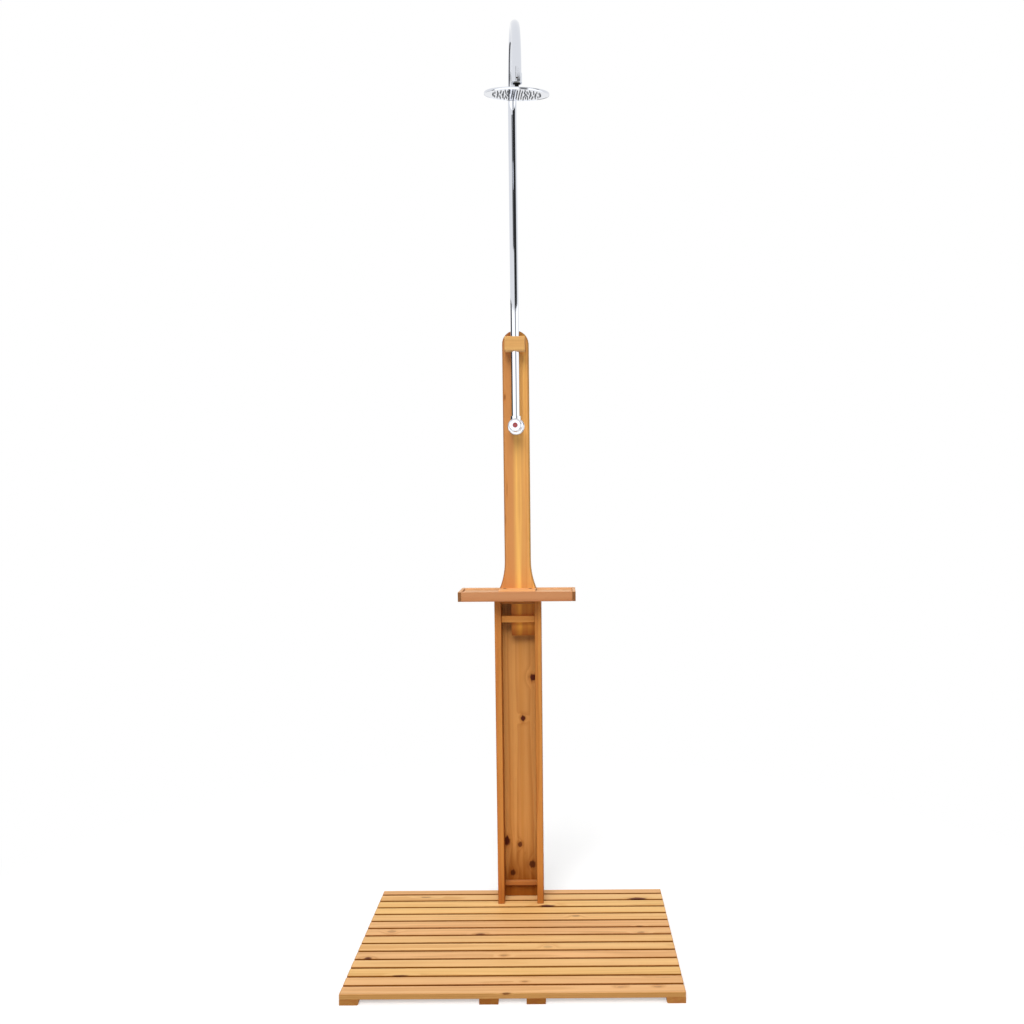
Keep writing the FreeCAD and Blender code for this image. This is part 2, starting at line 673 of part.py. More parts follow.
def make_end_rail(name, sign, into):
    """An end rail of the shelf, screwed to the front and back rails."""
    inner, outer = f"({sign}{RAIL_END})", f"({sign}{SHELF_HALF})"
    left, right = (outer, inner) if sign else (inner, outer)
    rail = board(name, (left, SHELF_FRONT, POST_TOP), (right, POST_BACK, RAIL_TOP))
    for along in RAIL_SCREW_Y:
        drill(rail, (outer, along, RAIL_SCREW_Z), into, *FRAME_SCREW)


def pilot_rail(body, along):
    """Holes in both ends of a rail for the screws through the end rails."""
    for sign, into in (("-", TO_RIGHT), ("", TO_LEFT)):
        seat = (f"({sign}{SHELF_HALF})", along, RAIL_SCREW_Z)
        radius = f"{size.frame_screw_shank} / 2 + {size.hole_gap}"
        primitive(body, "SubtractiveCylinder", seat, into, Radius=radius, Height=FRAME_SCREW_LENGTH)


front_rail = board(
    "shelf_front_rail",
    (f"(-{RAIL_END})", SHELF_FRONT, POST_TOP),
    (RAIL_END, RAIL_BACK, RAIL_TOP),
)
pilot_rail(front_rail, RAIL_SCREW_Y[0])
back_rail = board("shelf_back_rail", (f"(-{RAIL_END})", BACK_FACE, POST_TOP), (RAIL_END, POST_BACK, RAIL_TOP))
pilot_rail(back_rail, RAIL_SCREW_Y[1])
make_end_rail("shelf_left_rail", "-", TO_RIGHT)
make_end_rail("shelf_right_rail", "", TO_LEFT)
board(
    "shelf_left_floor",
    (f"(-{RAIL_END})", RAIL_BACK, POST_TOP),
    (f"(-{PLANK_BASE_HALF})", BACK_FACE, FLOOR_TOP),
)
board("shelf_right_floor", (PLANK_BASE_HALF, RAIL_BACK, POST_TOP), (RAIL_END, BACK_FACE, FLOOR_TOP))
centre_board = board(
    "shelf_centre_board",
    (f"(-{PLANK_BASE_HALF})", RAIL_BACK, POST_TOP),
    (PLANK_BASE_HALF, PLANK_FRONT, CENTRE_TOP),
)
for across in SHELF_SCREW_X:
    seat = (across, SHELF_SCREW_Y, CENTRE_TOP)
    drill(centre_board, seat, DOWN, size.frame_screw_shank, size.frame_screw_head, SHELF_SCREW_LENGTH)

screw_group(
    "shelf_screws",
    size.frame_screw_shank,
    size.frame_screw_head,
    SHELF_SCREW_LENGTH,
    [(across, SHELF_SCREW_Y, CENTRE_TOP) for across in SHELF_SCREW_X],
    UP,
)

# The plank: a straight neck with an arched top, coved out to its base, with a tongue inside the post.

plank = new_body("upper_plank")
box(
    plank,
    (f"(-{PLANK_BASE_HALF})", PLANK_FRONT, POST_TOP),
    (PLANK_BASE_HALF, BACK_FACE, COVE_TOP),
)
for sign in ("-", ""):
    primitive(
        plank,
        "SubtractiveCylinder",
        (f"({sign}({PLANK_HALF} + {COVE_RADIUS}))", BACK_FACE, COVE_TOP),
        TO_FRONT,
        Radius=COVE_RADIUS,
        Height=size.plank_thick,
    )
box(plank, (f"(-{PLANK_HALF})", PLANK_FRONT, POST_TOP), (PLANK_HALF, BACK_FACE, ARCH_CENTRE))
primitive(
    plank,
    "AdditiveCylinder",
    ("0", BACK_FACE, ARCH_CENTRE),
    TO_FRONT,
    Radius=PLANK_HALF,
    Height=size.plank_thick,
)
plank_face = value(PLANK_FRONT)
plank_foot = value(POST_TOP)
round_edges(
    plank,
    size.plank_round,
    lambda edge: lies_on(edge, "Y", plank_face) and not lies_on(edge, "Z", plank_foot),
)
box(plank, (TONGUE_LEFT, PLANK_FRONT, TONGUE_BASE), (TONGUE_RIGHT, BACK_FACE, POST_TOP))
primitive(
    plank,
    "SubtractiveCylinder",
    ("0", BACK_FACE, VALVE_Z),
    TO_FRONT,
    Radius=f"{SHANK_RADIUS} + {size.seat_gap}",
    Height=size.plank_thick,
)
for across in BLOCK_SCREW_X:
    seat = (across, BACK_FACE, BLOCK_MIDDLE)
    drill(plank, seat, TO_FRONT, size.foot_screw_shank, size.foot_screw_head, BLOCK_SCREW_LENGTH)
for across in PLANK_SCREW_X:
    for up in PLANK_SCREW_Z:
        primitive(
            plank,
            "SubtractiveCylinder",
            (across, POST_BACK, up),
            TO_FRONT,
            Radius=f"{size.frame_screw_shank} / 2 + {size.hole_gap}",
            Height=f"{FRAME_SCREW_LENGTH} + {size.hole_gap}",
        )

# One pattern of screw holds the post together, the shelf's end rails to it and the tongue to its back board.
frame_seats = [(across, POST_BACK, up, TO_BACK) for across in PLANK_SCREW_X for up in PLANK_SCREW_Z]
for sign, out in (("-", TO_LEFT), ("", TO_RIGHT)):
    frame_seats += [(f"({sign}{POST_HALF})", along, up, out) for along, up in SIDE_SCREW_SPOTS]
    frame_seats += [(f"({sign}{SHELF_HALF})", along, RAIL_SCREW_Z, out) for along in RAIL_SCREW_Y]
screw_group(
    "frame_screws",
    size.frame_screw_shank,
    size.frame_screw_head,
    FRAME_SCREW_LENGTH,
    frame_seats,
    UP,
)
screw_group(
    "block_screws",
    size.foot_screw_shank,
    size.foot_screw_head,
    BLOCK_SCREW_LENGTH,
    [(across, BACK_FACE, BLOCK_MIDDLE) for across in BLOCK_SCREW_X],
    TO_BACK,
)

# The block on the plank, hollowed from its back for the swivel and open there to the pipes.

block = new_body("pipe_block")
block_half = f"({size.block_width} / 2)"
box(block, (f"(-{block_half})", BLOCK_FRONT, BLOCK_BASE), (block_half, PLANK_FRONT, BLOCK_TOP))
round_edges(block, size.block_round, lambda edge: not lies_on(edge, "Y", plank_face))
for radius, base, top in (
    (f"({TUBE_RADIUS} + {size.seat_gap})", BLOCK_BASE, BLOCK_TOP),
    (f"({size.swivel_diameter} / 2 + {size.seat_gap})", SWIVEL_BASE, LIP_UNDERSIDE),
):
    bore(block, radius, base, top, ("0", PIPE_Y))
    box(block, (f"(-{radius})", PIPE_Y, base), (radius, PLANK_FRONT, top), "SubtractiveBox")
for across in BLOCK_SCREW_X:
    primitive(
        block,
        "SubtractiveCylinder",
        (across, BACK_FACE, BLOCK_MIDDLE),
        TO_FRONT,
        Radius=f"{size.foot_screw_shank} / 2 + {size.hole_gap}",
        Height=f"{BLOCK_SCREW_LENGTH} + {size.hole_gap}",
    )

# The fixed half of the swivel, the pipe below it and their seals.

PIPE_LINE = ("0", PIPE_Y, "0")

swivel_radius = f"({size.swivel_diameter} / 2)"
swivel = turned(
    "swivel_socket",
    (
        (SOCKET_RADIUS, SWIVEL_BASE),
        (swivel_radius, SWIVEL_BASE),
        (swivel_radius, SWIVEL_TOP),
        (SOCKET_RADIUS, SWIVEL_TOP),
        (SOCKET_RADIUS, SHOULDER_TOP),
        (TUBE_INNER, SHOULDER_TOP),
        (TUBE_INNER, SHOULDER_BASE),
        (SOCKET_RADIUS, SHOULDER_BASE),
    ),
    PIPE_LINE,
)
for middle in (LOWER_SEAL, UPPER_SEAL):
    bore(swivel, GROOVE_RADIUS, f"({middle} - {GROOVE_HEIGHT} / 2)", f"({middle} + {GROOVE_HEIGHT} / 2)")


# Three equal rubber rings: one in the valve's socket and two in the swivel.
rings = new_body("pipe_seals", PIPE_LINE)
rings.AllowCompound = True
for middle in (f"({VALVE_Z} + {BOSS_SEAL})", LOWER_SEAL, UPPER_SEAL):
    primitive(
        rings,
        "AdditiveTorus",
        ("0", "0", middle),
        Radius1=RING_RADIUS,
        Radius2=f"{size.ring_section} / 2",
    )

turned(
    "supply_pipe",
    (
        (TUBE_INNER, PIPE_BASE),
        (TUBE_RADIUS, PIPE_BASE),
        (TUBE_RADIUS, f"({SHOULDER_BASE} - {size.hole_gap})"),
        (TUBE_INNER, f"({SHOULDER_BASE} - {size.hole_gap})"),
    ),
    PIPE_LINE,
)

# The valve, in a frame on the plank's face whose z axis points to the front and y axis up.

VALVE_SEAT = ("0", PLANK_FRONT, VALVE_Z)

flange_radius = f"({size.flange_diameter} / 2)"
turned(
    "valve_flange",
    (
        (SHANK_HOLE, "0"),
        (flange_radius, "0"),
        (flange_radius, f"({size.flange_thick} / 2)"),
        (f"({size.valve_diameter} / 2 + {size.flange_thick} / 2)", size.flange_thick),
        (SHANK_HOLE, size.flange_thick),
    ),
    VALVE_SEAT,
    TO_FRONT,
)

valve_radius = f"({size.valve_diameter} / 2)"
valve_body = turned(
    "valve_body",
    (
        ("0", TAIL_END),
        (TAIL_RADIUS, TAIL_END),
        (TAIL_RADIUS, THREAD_END),
        (RELIEF_RADIUS, THREAD_END),
        (RELIEF_RADIUS, SHANK_END),
        (SHANK_RADIUS, SHANK_END),
        (SHANK_RADIUS, size.flange_thick),
        (valve_radius, size.flange_thick),
        (valve_radius, size.valve_length),
        ("0", size.valve_length),
    ),
    VALVE_SEAT,
    TO_FRONT,
)
primitive(
    valve_body,
    "AdditiveCylinder",
    ("0", "0", size.pipe_standoff),
    TO_BACK,
    Radius=f"{size.boss_diameter} / 2",
    Height=size.boss_rise,
)
bore(valve_body, f"({size.tail_bore} / 2)", TAIL_END, CHAMBER_FLOOR)
bore(valve_body, CHAMBER_RADIUS, CHAMBER_FLOOR, size.valve_length)
primitive(
    valve_body,
    "SubtractiveCylinder",
    ("0", "0", size.pipe_standoff),
    TO_BACK,
    Radius=f"{size.boss_bore} / 2",
    Height=size.boss_rise,
)
primitive(
    valve_body,
    "SubtractiveCylinder",
    ("0", SOCKET_RISE, size.pipe_standoff),
    TO_BACK,
    Radius=SOCKET_RADIUS,
    Height=size.boss_socket,
)
primitive(
    valve_body,
    "SubtractiveCylinder",
    ("0", f"({BOSS_SEAL} - {GROOVE_HEIGHT} / 2)", size.pipe_standoff),
    TO_BACK,
    Radius=GROOVE_RADIUS,
    Height=GROOVE_HEIGHT,
)

turned(
    "tail_washer",
    (
        (SHANK_HOLE, WASHER_BACK),
        (f"({size.washer_diameter} / 2)", WASHER_BACK),
        (f"({size.washer_diameter} / 2)", f"(-{size.plank_thick})"),
        (SHANK_HOLE, f"(-{size.plank_thick})"),
    ),
    VALVE_SEAT,
    TO_FRONT,
)


def hexagon(body, flats, base, thick):
    """A hexagonal prism given by its width over flats."""
    radius = f"{flats} / 2 / cos(30deg)"
    prism = primitive(body, "AdditivePrism", ("0", "0", base), Circumradius=radius, Height=thick)
    prism.Polygon = 6


tail_nut = new_body("tail_nut", VALVE_SEAT, TO_FRONT)
nut_back = f"({WASHER_BACK} - {size.tail_nut_thick})"
hexagon(tail_nut, size.tail_nut_flats, nut_back, size.tail_nut_thick)
bore(tail_nut, SHANK_HOLE, nut_back, WASHER_BACK)

# The cartridge screws into the body by its own hexagon, and the knob's skirt hides it.
cartridge = turned(
    "valve_cartridge",
    (
        ("0", CHAMBER_FLOOR),
        (f"({size.cartridge_diameter} / 2)", CHAMBER_FLOOR),
        (f"({size.cartridge_diameter} / 2)", size.valve_length),
        ("0", size.valve_length),
    ),
    VALVE_SEAT,
    TO_FRONT,
)
hexagon(cartridge, size.cartridge_flats, size.valve_length, size.cartridge_head)
stem_hole = f"({VALVE_STEM_RADIUS} + {size.running_gap})"
bore(cartridge, stem_hole, f"({STEM_START} - {size.seat_gap})", CARTRIDGE_TOP)
port_height = size.pipe_standoff
primitive(
    cartridge,
    "SubtractiveCylinder",
    ("0", "0", port_height),
    TO_BACK,
    Radius=f"{size.cartridge_port} / 2",
    Height=size.cartridge_diameter,
)
bore(cartridge, f"({size.cartridge_channel} / 2)", CHAMBER_FLOOR, port_height)

# The knob and what turns with it.

knob_screw_shank = f"({size.valve_stem_diameter} / 2)"
knob_screw_head = size.valve_stem_diameter
knob_screw_seat = f"({INDEX_SEAT} - {size.hole_gap})"
knob_screw_length = f"({knob_screw_seat} - {STEM_END} + {size.knob_screw_bite})"

stem = turned(
    "valve_stem",
    (
        ("0", STEM_START),
        (VALVE_STEM_RADIUS, STEM_START),
        (VALVE_STEM_RADIUS, STEM_END),
        ("0", STEM_END),
    ),
    VALVE_SEAT,
    TO_FRONT,
)
thread_base = f"({STEM_END} - {size.knob_screw_bite} - {size.hole_gap})"
bore(stem, f"({knob_screw_shank} / 2 + {size.hole_gap})", thread_base, STEM_END)

knob_radius = f"({size.knob_diameter} / 2)"
knob = turned(
    "valve_knob",
    (
        ("0", KNOB_BACK),
        (knob_radius, KNOB_BACK),
        (knob_radius, KNOB_FRONT),
        ("0", KNOB_FRONT),
    ),
    VALVE_SEAT,
    TO_FRONT,
)
knob_face = value(KNOB_FRONT)
round_edges(knob, size.knob_round, lambda edge: lies_on(edge, "Z", knob_face))
bore(knob, f"({knob_radius} - {size.knob_wall})", KNOB_BACK, SKIRT_END)
bore(knob, stem_hole, SKIRT_END, STEM_END)
bore(knob, f"({knob_screw_shank} / 2 + {size.hole_gap})", STEM_END, KNOB_FRONT)
primitive(
    knob,
    "SubtractiveCone",
    ("0", "0", f"({knob_screw_seat} - {HEAD_HEIGHT_SHARE} * {knob_screw_head})"),
    Radius1=f"{knob_screw_shank} / 2 + {size.hole_gap}",
    Radius2=f"{knob_screw_head} / 2 + {size.hole_gap}",
    Height=f"{HEAD_HEIGHT_SHARE} * {knob_screw_head}",
)
bore(knob, f"({knob_screw_head} / 2 + {size.hole_gap})", knob_screw_seat, KNOB_FRONT)
bore(knob, f"({size.index_diameter} / 2 + {size.hole_gap})", INDEX_SEAT, KNOB_FRONT)

turned(
    "knob_index",
    (
        ("0", INDEX_SEAT),
        (f"({size.index_diameter} / 2)", INDEX_SEAT),
        (f"({size.index_diameter} / 2)", KNOB_FRONT),
        (f"({size.index_flat_diameter} / 2)", f"({KNOB_FRONT} + {size.index_dome})"),
        ("0", f"({KNOB_FRONT} + {size.index_dome})"),
    ),
    VALVE_SEAT,
    TO_FRONT,
)
screw_group(
    "knob_screw",
    knob_screw_shank,
    knob_screw_head,
    knob_screw_length,
    [("0", f"({PLANK_FRONT} - {knob_screw_seat})", VALVE_Z)],
    TO_FRONT,
)

# The swivelling arm, in a frame on the floor below the riser, turned about it.


def arm_body(name):
    """An empty body in the arm's frame, whose arch lies over its negative y axis."""
    body = new_body(name, PIPE_LINE)
    body.setExpression("Placement.Rotation.Yaw", size.arm_turn)
    return body


HEAD_LINE = ("0", f"(-{size.reach})")

riser = arm_body("riser_tube")
for radius, cut in ((TUBE_RADIUS, False), (TUBE_INNER, True)):
    kind = "Subtractive" if cut else "Additive"
    straight = f"{BEND_BASE} - {RISER_END}"
    cylinder(riser, radius, RISER_END, straight, kind=f"{kind}Cylinder")
    leg = f"{BEND_BASE} - {LEG_END}"
    cylinder(riser, radius, LEG_END, leg, HEAD_LINE, f"{kind}Cylinder")
    bend = primitive(
        riser,
        f"{kind}Torus",
        ("0", f"(-{BEND_RADIUS})", BEND_BASE),
        ARCH,
        Radius1=BEND_RADIUS,
        Radius2=radius,
    )
    bend.Angle3 = 180
    if not cut:
        cylinder(riser, f"{size.bead_diameter} / 2", BEAD_BASE, size.bead_height)

collar = arm_body("arm_collar")
cylinder(collar, f"{size.collar_diameter} / 2", COLLAR_BASE, size.collar_length, HEAD_LINE)
round_edges(collar, size.board_round)
bore(collar, SOCKET_RADIUS, LEG_END, COLLAR_TOP, HEAD_LINE)
bore(collar, f"({size.ball_diameter} / 4)", BALL_Z, LEG_END, HEAD_LINE)
primitive(collar, "SubtractiveSphere", (*HEAD_LINE, BALL_Z), Radius=CAVITY_RADIUS)
lock_z = f"({BALL_Z} + {size.lock_screw_diameter})"
primitive(
    collar,
    "SubtractiveCylinder",
    (*HEAD_LINE, lock_z),
    TO_FRONT,
    Radius=f"{size.lock_screw_diameter} / 2 + {size.hole_gap}",
    Height=size.collar_diameter,
)

lock_screw = arm_body("collar_lock_screw")
lock_length = f"({size.collar_diameter} / 2 - {CAVITY_RADIUS} - {size.hole_gap})"
primitive(
    lock_screw,
    "AdditiveCylinder",
    ("0", f"(-{size.reach} - {size.collar_diameter} / 2 + {lock_length})", lock_z),
    TO_FRONT,
    Radius=f"{size.lock_screw_diameter} / 2",
    Height=lock_length,
)
socket = primitive(
    lock_screw,
    "SubtractivePrism",
    ("0", f"(-{size.reach} - {size.collar_diameter} / 2 + {lock_length} / 2)", lock_z),
    TO_FRONT,
    Circumradius=f"{size.lock_screw_diameter} / 4",
    Height=lock_length,
)
socket.Polygon = 6

# The ball joint and the head, in a frame at the ball's centre, turned with the arm and tilted to the front.

BALL_CENTRE = (BALL_X, BALL_Y, BALL_Z)


def head_body(name):
    """An empty body in the head's frame, whose z axis is the head's own axis."""
    body = new_body(name, BALL_CENTRE)
    body.setExpression("Placement.Rotation.Yaw", size.arm_turn)
    body.setExpression("Placement.Rotation.Roll", size.head_tilt)
    return body


def seat_ring(name, low, high):
    """A ring between two spheres about the ball's centre, from one latitude to another."""
    body = head_body(name)
    primitive(body, "AdditiveSphere", Radius=SEAT_OUTER, Angle1=low, Angle2=high)
    primitive(body, "SubtractiveSphere", Radius=SEAT_INNER)


seat_ring("ball_lower_seat", f"-{size.seat_low_angle}", f"-{size.seat_split_angle}")
seat_ring("ball_upper_seat", size.seat_split_angle, size.seat_high_angle)

STEM_LENGTH = f"(-{NECK_BASE})"

ball = head_body("swivel_ball")
primitive(ball, "AdditiveSphere", Radius=BALL_RADIUS)
cylinder(ball, STEM_RADIUS, f"(-{STEM_LENGTH})", STEM_LENGTH)
cylinder(ball, f"{size.stem_flange_diameter} / 2", CROWN_TOP, size.stem_flange_thick)
bore(ball, f"({size.water_bore} / 2)", f"(-{STEM_LENGTH})", size.ball_diameter)

shell = head_body("head_shell")
add_turned(
    shell,
    (
        (f"({STEM_RADIUS} + {size.hole_gap})", CROWN_TOP),
        (CROWN_RADIUS, CROWN_TOP),
        (HEAD_RADIUS, RIM_TOP),
        (HEAD_RADIUS, f"(-{size.head_drop})"),
        (SHELL_INNER, f"(-{size.head_drop})"),
        (SHELL_INNER, f"({RIM_TOP} - {size.shell_wall})"),
        (CROWN_RADIUS, CROWN_INNER),
        (NECK_RADIUS, CROWN_INNER),
        (NECK_RADIUS, NECK_BASE),
        (f"({STEM_RADIUS} + {size.hole_gap})", NECK_BASE),
    ),
)
rim_z = value(RIM_TOP)
rim_radius = value(HEAD_RADIUS)
round_edges(
    shell,
    size.rim_round,
    lambda edge: lies_on(edge, "Z", rim_z) and abs(edge.BoundBox.XMax - rim_radius) < 0.01,
)

plate = head_body("nozzle_plate")
cylinder(plate, PLATE_RADIUS, PLATE_BASE, size.plate_thick)
mat = head_body("nozzle_mat")
cylinder(mat, MAT_RADIUS, PLATE_TOP, size.mat_thick)

hole_radius = f"({size.nozzle_diameter} / 2 + {size.hole_gap})"
nozzle_base = f"({PLATE_BASE} - {size.nozzle_length})"
nozzle_height = f"{PLATE_TOP} - {nozzle_base}"
for ring in range(int(value(size.nozzle_rings)) + 1):
    spot = (f"({ring} * {NOZZLE_STEP})", "0")
    hole = bore(plate, hole_radius, PLATE_BASE, PLATE_TOP, spot)
    if ring:
        polar(plate, hole, f"6 * {ring}")
    nozzle = primitive(
        mat,
        "AdditiveCone",
        (*spot, nozzle_base),
        Radius1=f"{size.nozzle_tip_diameter} / 2",
        Radius2=f"{size.nozzle_diameter} / 2",
        Height=nozzle_height,
    )
    if ring:
        polar(mat, nozzle, f"6 * {ring}")
for ring in range(int(value(size.nozzle_rings)) + 1):
    spot = (f"({ring} * {NOZZLE_STEP})", "0")
    channel = bore(mat, f"({size.nozzle_bore} / 2)", nozzle_base, MAT_TOP, spot)
    if ring:
        polar(mat, channel, f"6 * {ring}")

head_seal = head_body("head_seal")
primitive(
    head_seal,
    "AdditiveTorus",
    ("0", "0", f"({PLATE_TOP} + {size.head_ring_section} / 2)"),
    Radius1=SEAL_RADIUS,
    Radius2=f"{size.head_ring_section} / 2",
)


def write_steps():
    """Checks every object and writes one file for each sub-part."""
    doc.recompute()
    for item in doc.Objects:
        if any(state in ("Invalid", "Error") for state in item.State):
            raise RuntimeError(f"{item.Name} failed: {item.State}")
    for part in sub_parts:
        if part.Shape.isNull() or not part.Shape.isValid() or not part.Shape.Solids:
            raise RuntimeError(f"{part.Label} has no valid solid")
    os.makedirs("parts", exist_ok=True)
    for part in sub_parts:
        part.Shape.exportStep(f"parts/{part.Label}.step")
    print(f"{len(sub_parts)} sub-parts written")


write_steps()
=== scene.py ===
"""The looks of an outdoor shower post: oiled softwood boards, polished chrome pipework and a rain head.

Everything is in metres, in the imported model's frame: the origin is on the floor under the middle of the
foot tray, x points to the right, y to the back and z up.
"""

import json
import logging
import math
from dataclasses import dataclass, field
from enum import Enum
from typing import Iterable, Sequence

import bmesh
import bpy
import numpy as np
from mathutils import Matrix, Vector

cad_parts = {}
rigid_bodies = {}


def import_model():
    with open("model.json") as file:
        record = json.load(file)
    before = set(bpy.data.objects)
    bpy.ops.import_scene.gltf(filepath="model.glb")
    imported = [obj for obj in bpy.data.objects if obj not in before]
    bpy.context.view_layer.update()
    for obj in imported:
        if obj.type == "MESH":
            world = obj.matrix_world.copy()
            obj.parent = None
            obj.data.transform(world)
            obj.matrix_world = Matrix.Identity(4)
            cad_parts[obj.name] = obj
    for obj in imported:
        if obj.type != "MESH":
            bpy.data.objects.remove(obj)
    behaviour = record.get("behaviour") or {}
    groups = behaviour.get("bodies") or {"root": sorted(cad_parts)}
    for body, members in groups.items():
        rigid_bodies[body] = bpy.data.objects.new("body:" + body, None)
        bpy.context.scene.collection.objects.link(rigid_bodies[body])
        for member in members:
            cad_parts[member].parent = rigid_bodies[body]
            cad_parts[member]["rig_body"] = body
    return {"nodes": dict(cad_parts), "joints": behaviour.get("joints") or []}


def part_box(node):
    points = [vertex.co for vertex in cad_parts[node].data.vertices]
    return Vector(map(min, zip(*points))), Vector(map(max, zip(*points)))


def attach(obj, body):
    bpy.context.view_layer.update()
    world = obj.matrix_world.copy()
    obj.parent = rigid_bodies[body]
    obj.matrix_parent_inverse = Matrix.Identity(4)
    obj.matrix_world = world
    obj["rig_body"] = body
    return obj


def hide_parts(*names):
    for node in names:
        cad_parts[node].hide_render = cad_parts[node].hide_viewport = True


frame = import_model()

LOG = logging.getLogger("shower_post")
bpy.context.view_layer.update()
MM = 0.001
MERGE_DISTANCE = 1e-7
LEAST_EDGE = 1e-8

Triple = tuple[float, float, float]
Colour = tuple[float, float, float, float]

WHITE: Colour = (1.0, 1.0, 1.0, 1.0)
UNTOUCHED = WHITE


def srgb(red: int, green: int, blue: int) -> Colour:
    """The linear colour of a screen colour.

    Args:
        red: 0 to 255.
        green: 0 to 255.
        blue: 0 to 255.

    Returns:
        Linear red, green and blue, and an alpha of 1.
    """
    screen = np.array([red, green, blue]) / 255
    linear = np.where(screen <= 0.04045, screen / 12.92, ((screen + 0.055) / 1.055) ** 2.4)
    return (*(float(part) for part in linear), 1.0)


# Shader graphs


class Graph:
    """A node tree with short calls to add nodes and set or link their inputs."""

    def __init__(self, tree: bpy.types.NodeTree) -> None:
        """Holds the tree.

        Args:
            tree: the material's or group's own tree.
        """
        self.tree = tree

    def add(self, kind: str, inputs: dict | None = None, **settings: object) -> bpy.types.Node:
        """Adds a node.

        Args:
            kind: the node's type, without the ShaderNode in front.
            inputs: each input's name or number, with a socket to link or a value to set.
            settings: the node's own properties.

        Returns:
            The node.
        """
        node = self.tree.nodes.new(f"ShaderNode{kind}")
        for name, setting in settings.items():
            setattr(node, name, setting)
        for name, source in (inputs or {}).items():
            self.feed(node.inputs[name], source)
        return node

    def feed(self, entry: bpy.types.NodeSocket, source: object) -> None:
        """Links a socket to an input, or sets the input's value.

        Args:
            entry: the input.
            source: the socket to link, or the value to set.
        """
        if isinstance(source, bpy.types.NodeSocket):
            self.tree.links.new(source, entry)
        else:
            entry.default_value = source

    def first(self, kind: str) -> bpy.types.Node:
        """The tree's first node of a type.

        Args:
            kind: the type, as the node's type property gives it.

        Returns:
            The node.
        """
        return next(node for node in self.tree.nodes if node.type == kind)

    def math(self, operation: str, *terms: object) -> bpy.types.NodeSocket:
        """One sum on numbers.

        Args:
            operation: the Math node's operation.
            terms: sockets or numbers.

        Returns:
            The result's socket.
        """
        return self.add("Math", dict(enumerate(terms)), operation=operation).outputs[0]

    def smooth(self, value: object, low: object, high: object) -> bpy.types.NodeSocket:
        """A smooth step from 0 at low to 1 at high.

        Args:
            value: the socket that is stepped.
            low: the number or socket where the step starts.
            high: the number or socket where it ends.

        Returns:
            The step's socket.
        """
        inputs = {"Value": value, "From Min": low, "From Max": high}
        return self.add("MapRange", inputs, interpolation_type="SMOOTHSTEP").outputs["Result"]

    def ramp(
        self, value: object, span: tuple[float, float], levels: tuple[float, float]
    ) -> bpy.types.NodeSocket:
        """A straight ramp that is held at both ends.

        Args:
            value: the socket that is ramped.
            span: where the ramp starts and ends.
            levels: the values that it gives there.

        Returns:
            The ramp's socket.
        """
        ends = {"From Min": span[0], "From Max": span[1], "To Min": levels[0], "To Max": levels[1]}
        return self.add("MapRange", {"Value": value, **ends}).outputs["Result"]

    def noise(self, vector: object, scale: float, detail: float = 2.0) -> bpy.types.NodeSocket:
        """Soft noise from 0 to 1.

        Args:
            vector: where it is read.
            scale: blobs to the metre.
            detail: octaves.

        Returns:
            The noise's socket.
        """
        return self.add("TexNoise", {"Vector": vector, "Scale": scale, "Detail": detail}).outputs["Fac"]

    def scaled(self, vector: object, factors: Triple) -> bpy.types.NodeSocket:
        """A vector times one factor for each axis.

        Args:
            vector: the vector's socket.
            factors: the three factors.

        Returns:
            The product's socket.
        """
        return self.add("VectorMath", {0: vector, 1: factors}, operation="MULTIPLY").outputs[0]

    def blend(self, amount: object, first: object, second: object) -> bpy.types.NodeSocket:
        """A mix of two colours.

        Args:
            amount: 0 for the first, 1 for the second.
            first: a colour or its socket.
            second: a colour or its socket.

        Returns:
            The mix's socket.
        """
        node = self.add("Mix", data_type="RGBA")
        for index, source in ((0, amount), (6, first), (7, second)):
            self.feed(node.inputs[index], source)
        return node.outputs[2]


class Effect:
    """A shader node group that several materials share. It is built once, when it is first placed."""

    name = "effect"
    takes: tuple[tuple[str, str, object], ...] = ()
    gives: tuple[tuple[str, str], ...] = ()

    def wire(self, graph: Graph, inputs: bpy.types.NodeOutputs) -> dict[str, bpy.types.NodeSocket]:
        """Builds the inside of the group.

        Args:
            graph: the group's own graph.
            inputs: the sockets that bring its inputs in.

        Returns:
            The socket for each output's name.
        """
        raise NotImplementedError

    def place(self, graph: Graph, **inputs: object) -> bpy.types.NodeOutputs:
        """Places the group in a material.

        Args:
            graph: the material's graph.
            inputs: a socket or a value for each input, by its name with underscores for spaces.

        Returns:
            The placed node's outputs.
        """
        tree = bpy.data.node_groups.get(self.name) or self._build()
        node = graph.add("Group", node_tree=tree)
        for name, source in inputs.items():
            graph.feed(node.inputs[name.replace("_", " ")], source)
        return node.outputs

    def _build(self) -> bpy.types.NodeTree:
        """Makes the group's tree with its sockets and its inside.

        Returns:
            The tree.
        """
        tree = bpy.data.node_groups.new(self.name, "ShaderNodeTree")
        for name, kind, default in self.takes:
            entry = tree.interface.new_socket(name, in_out="INPUT", socket_type=f"NodeSocket{kind}")
            entry.default_value = default
        for name, kind in self.gives:
            tree.interface.new_socket(name, in_out="OUTPUT", socket_type=f"NodeSocket{kind}")
        graph = Graph(tree)
        entry_node = tree.nodes.new("NodeGroupInput")
        exit_node = tree.nodes.new("NodeGroupOutput")
        for name, socket in self.wire(graph, entry_node.outputs).items():
            tree.links.new(socket, exit_node.inputs[name])
        return tree


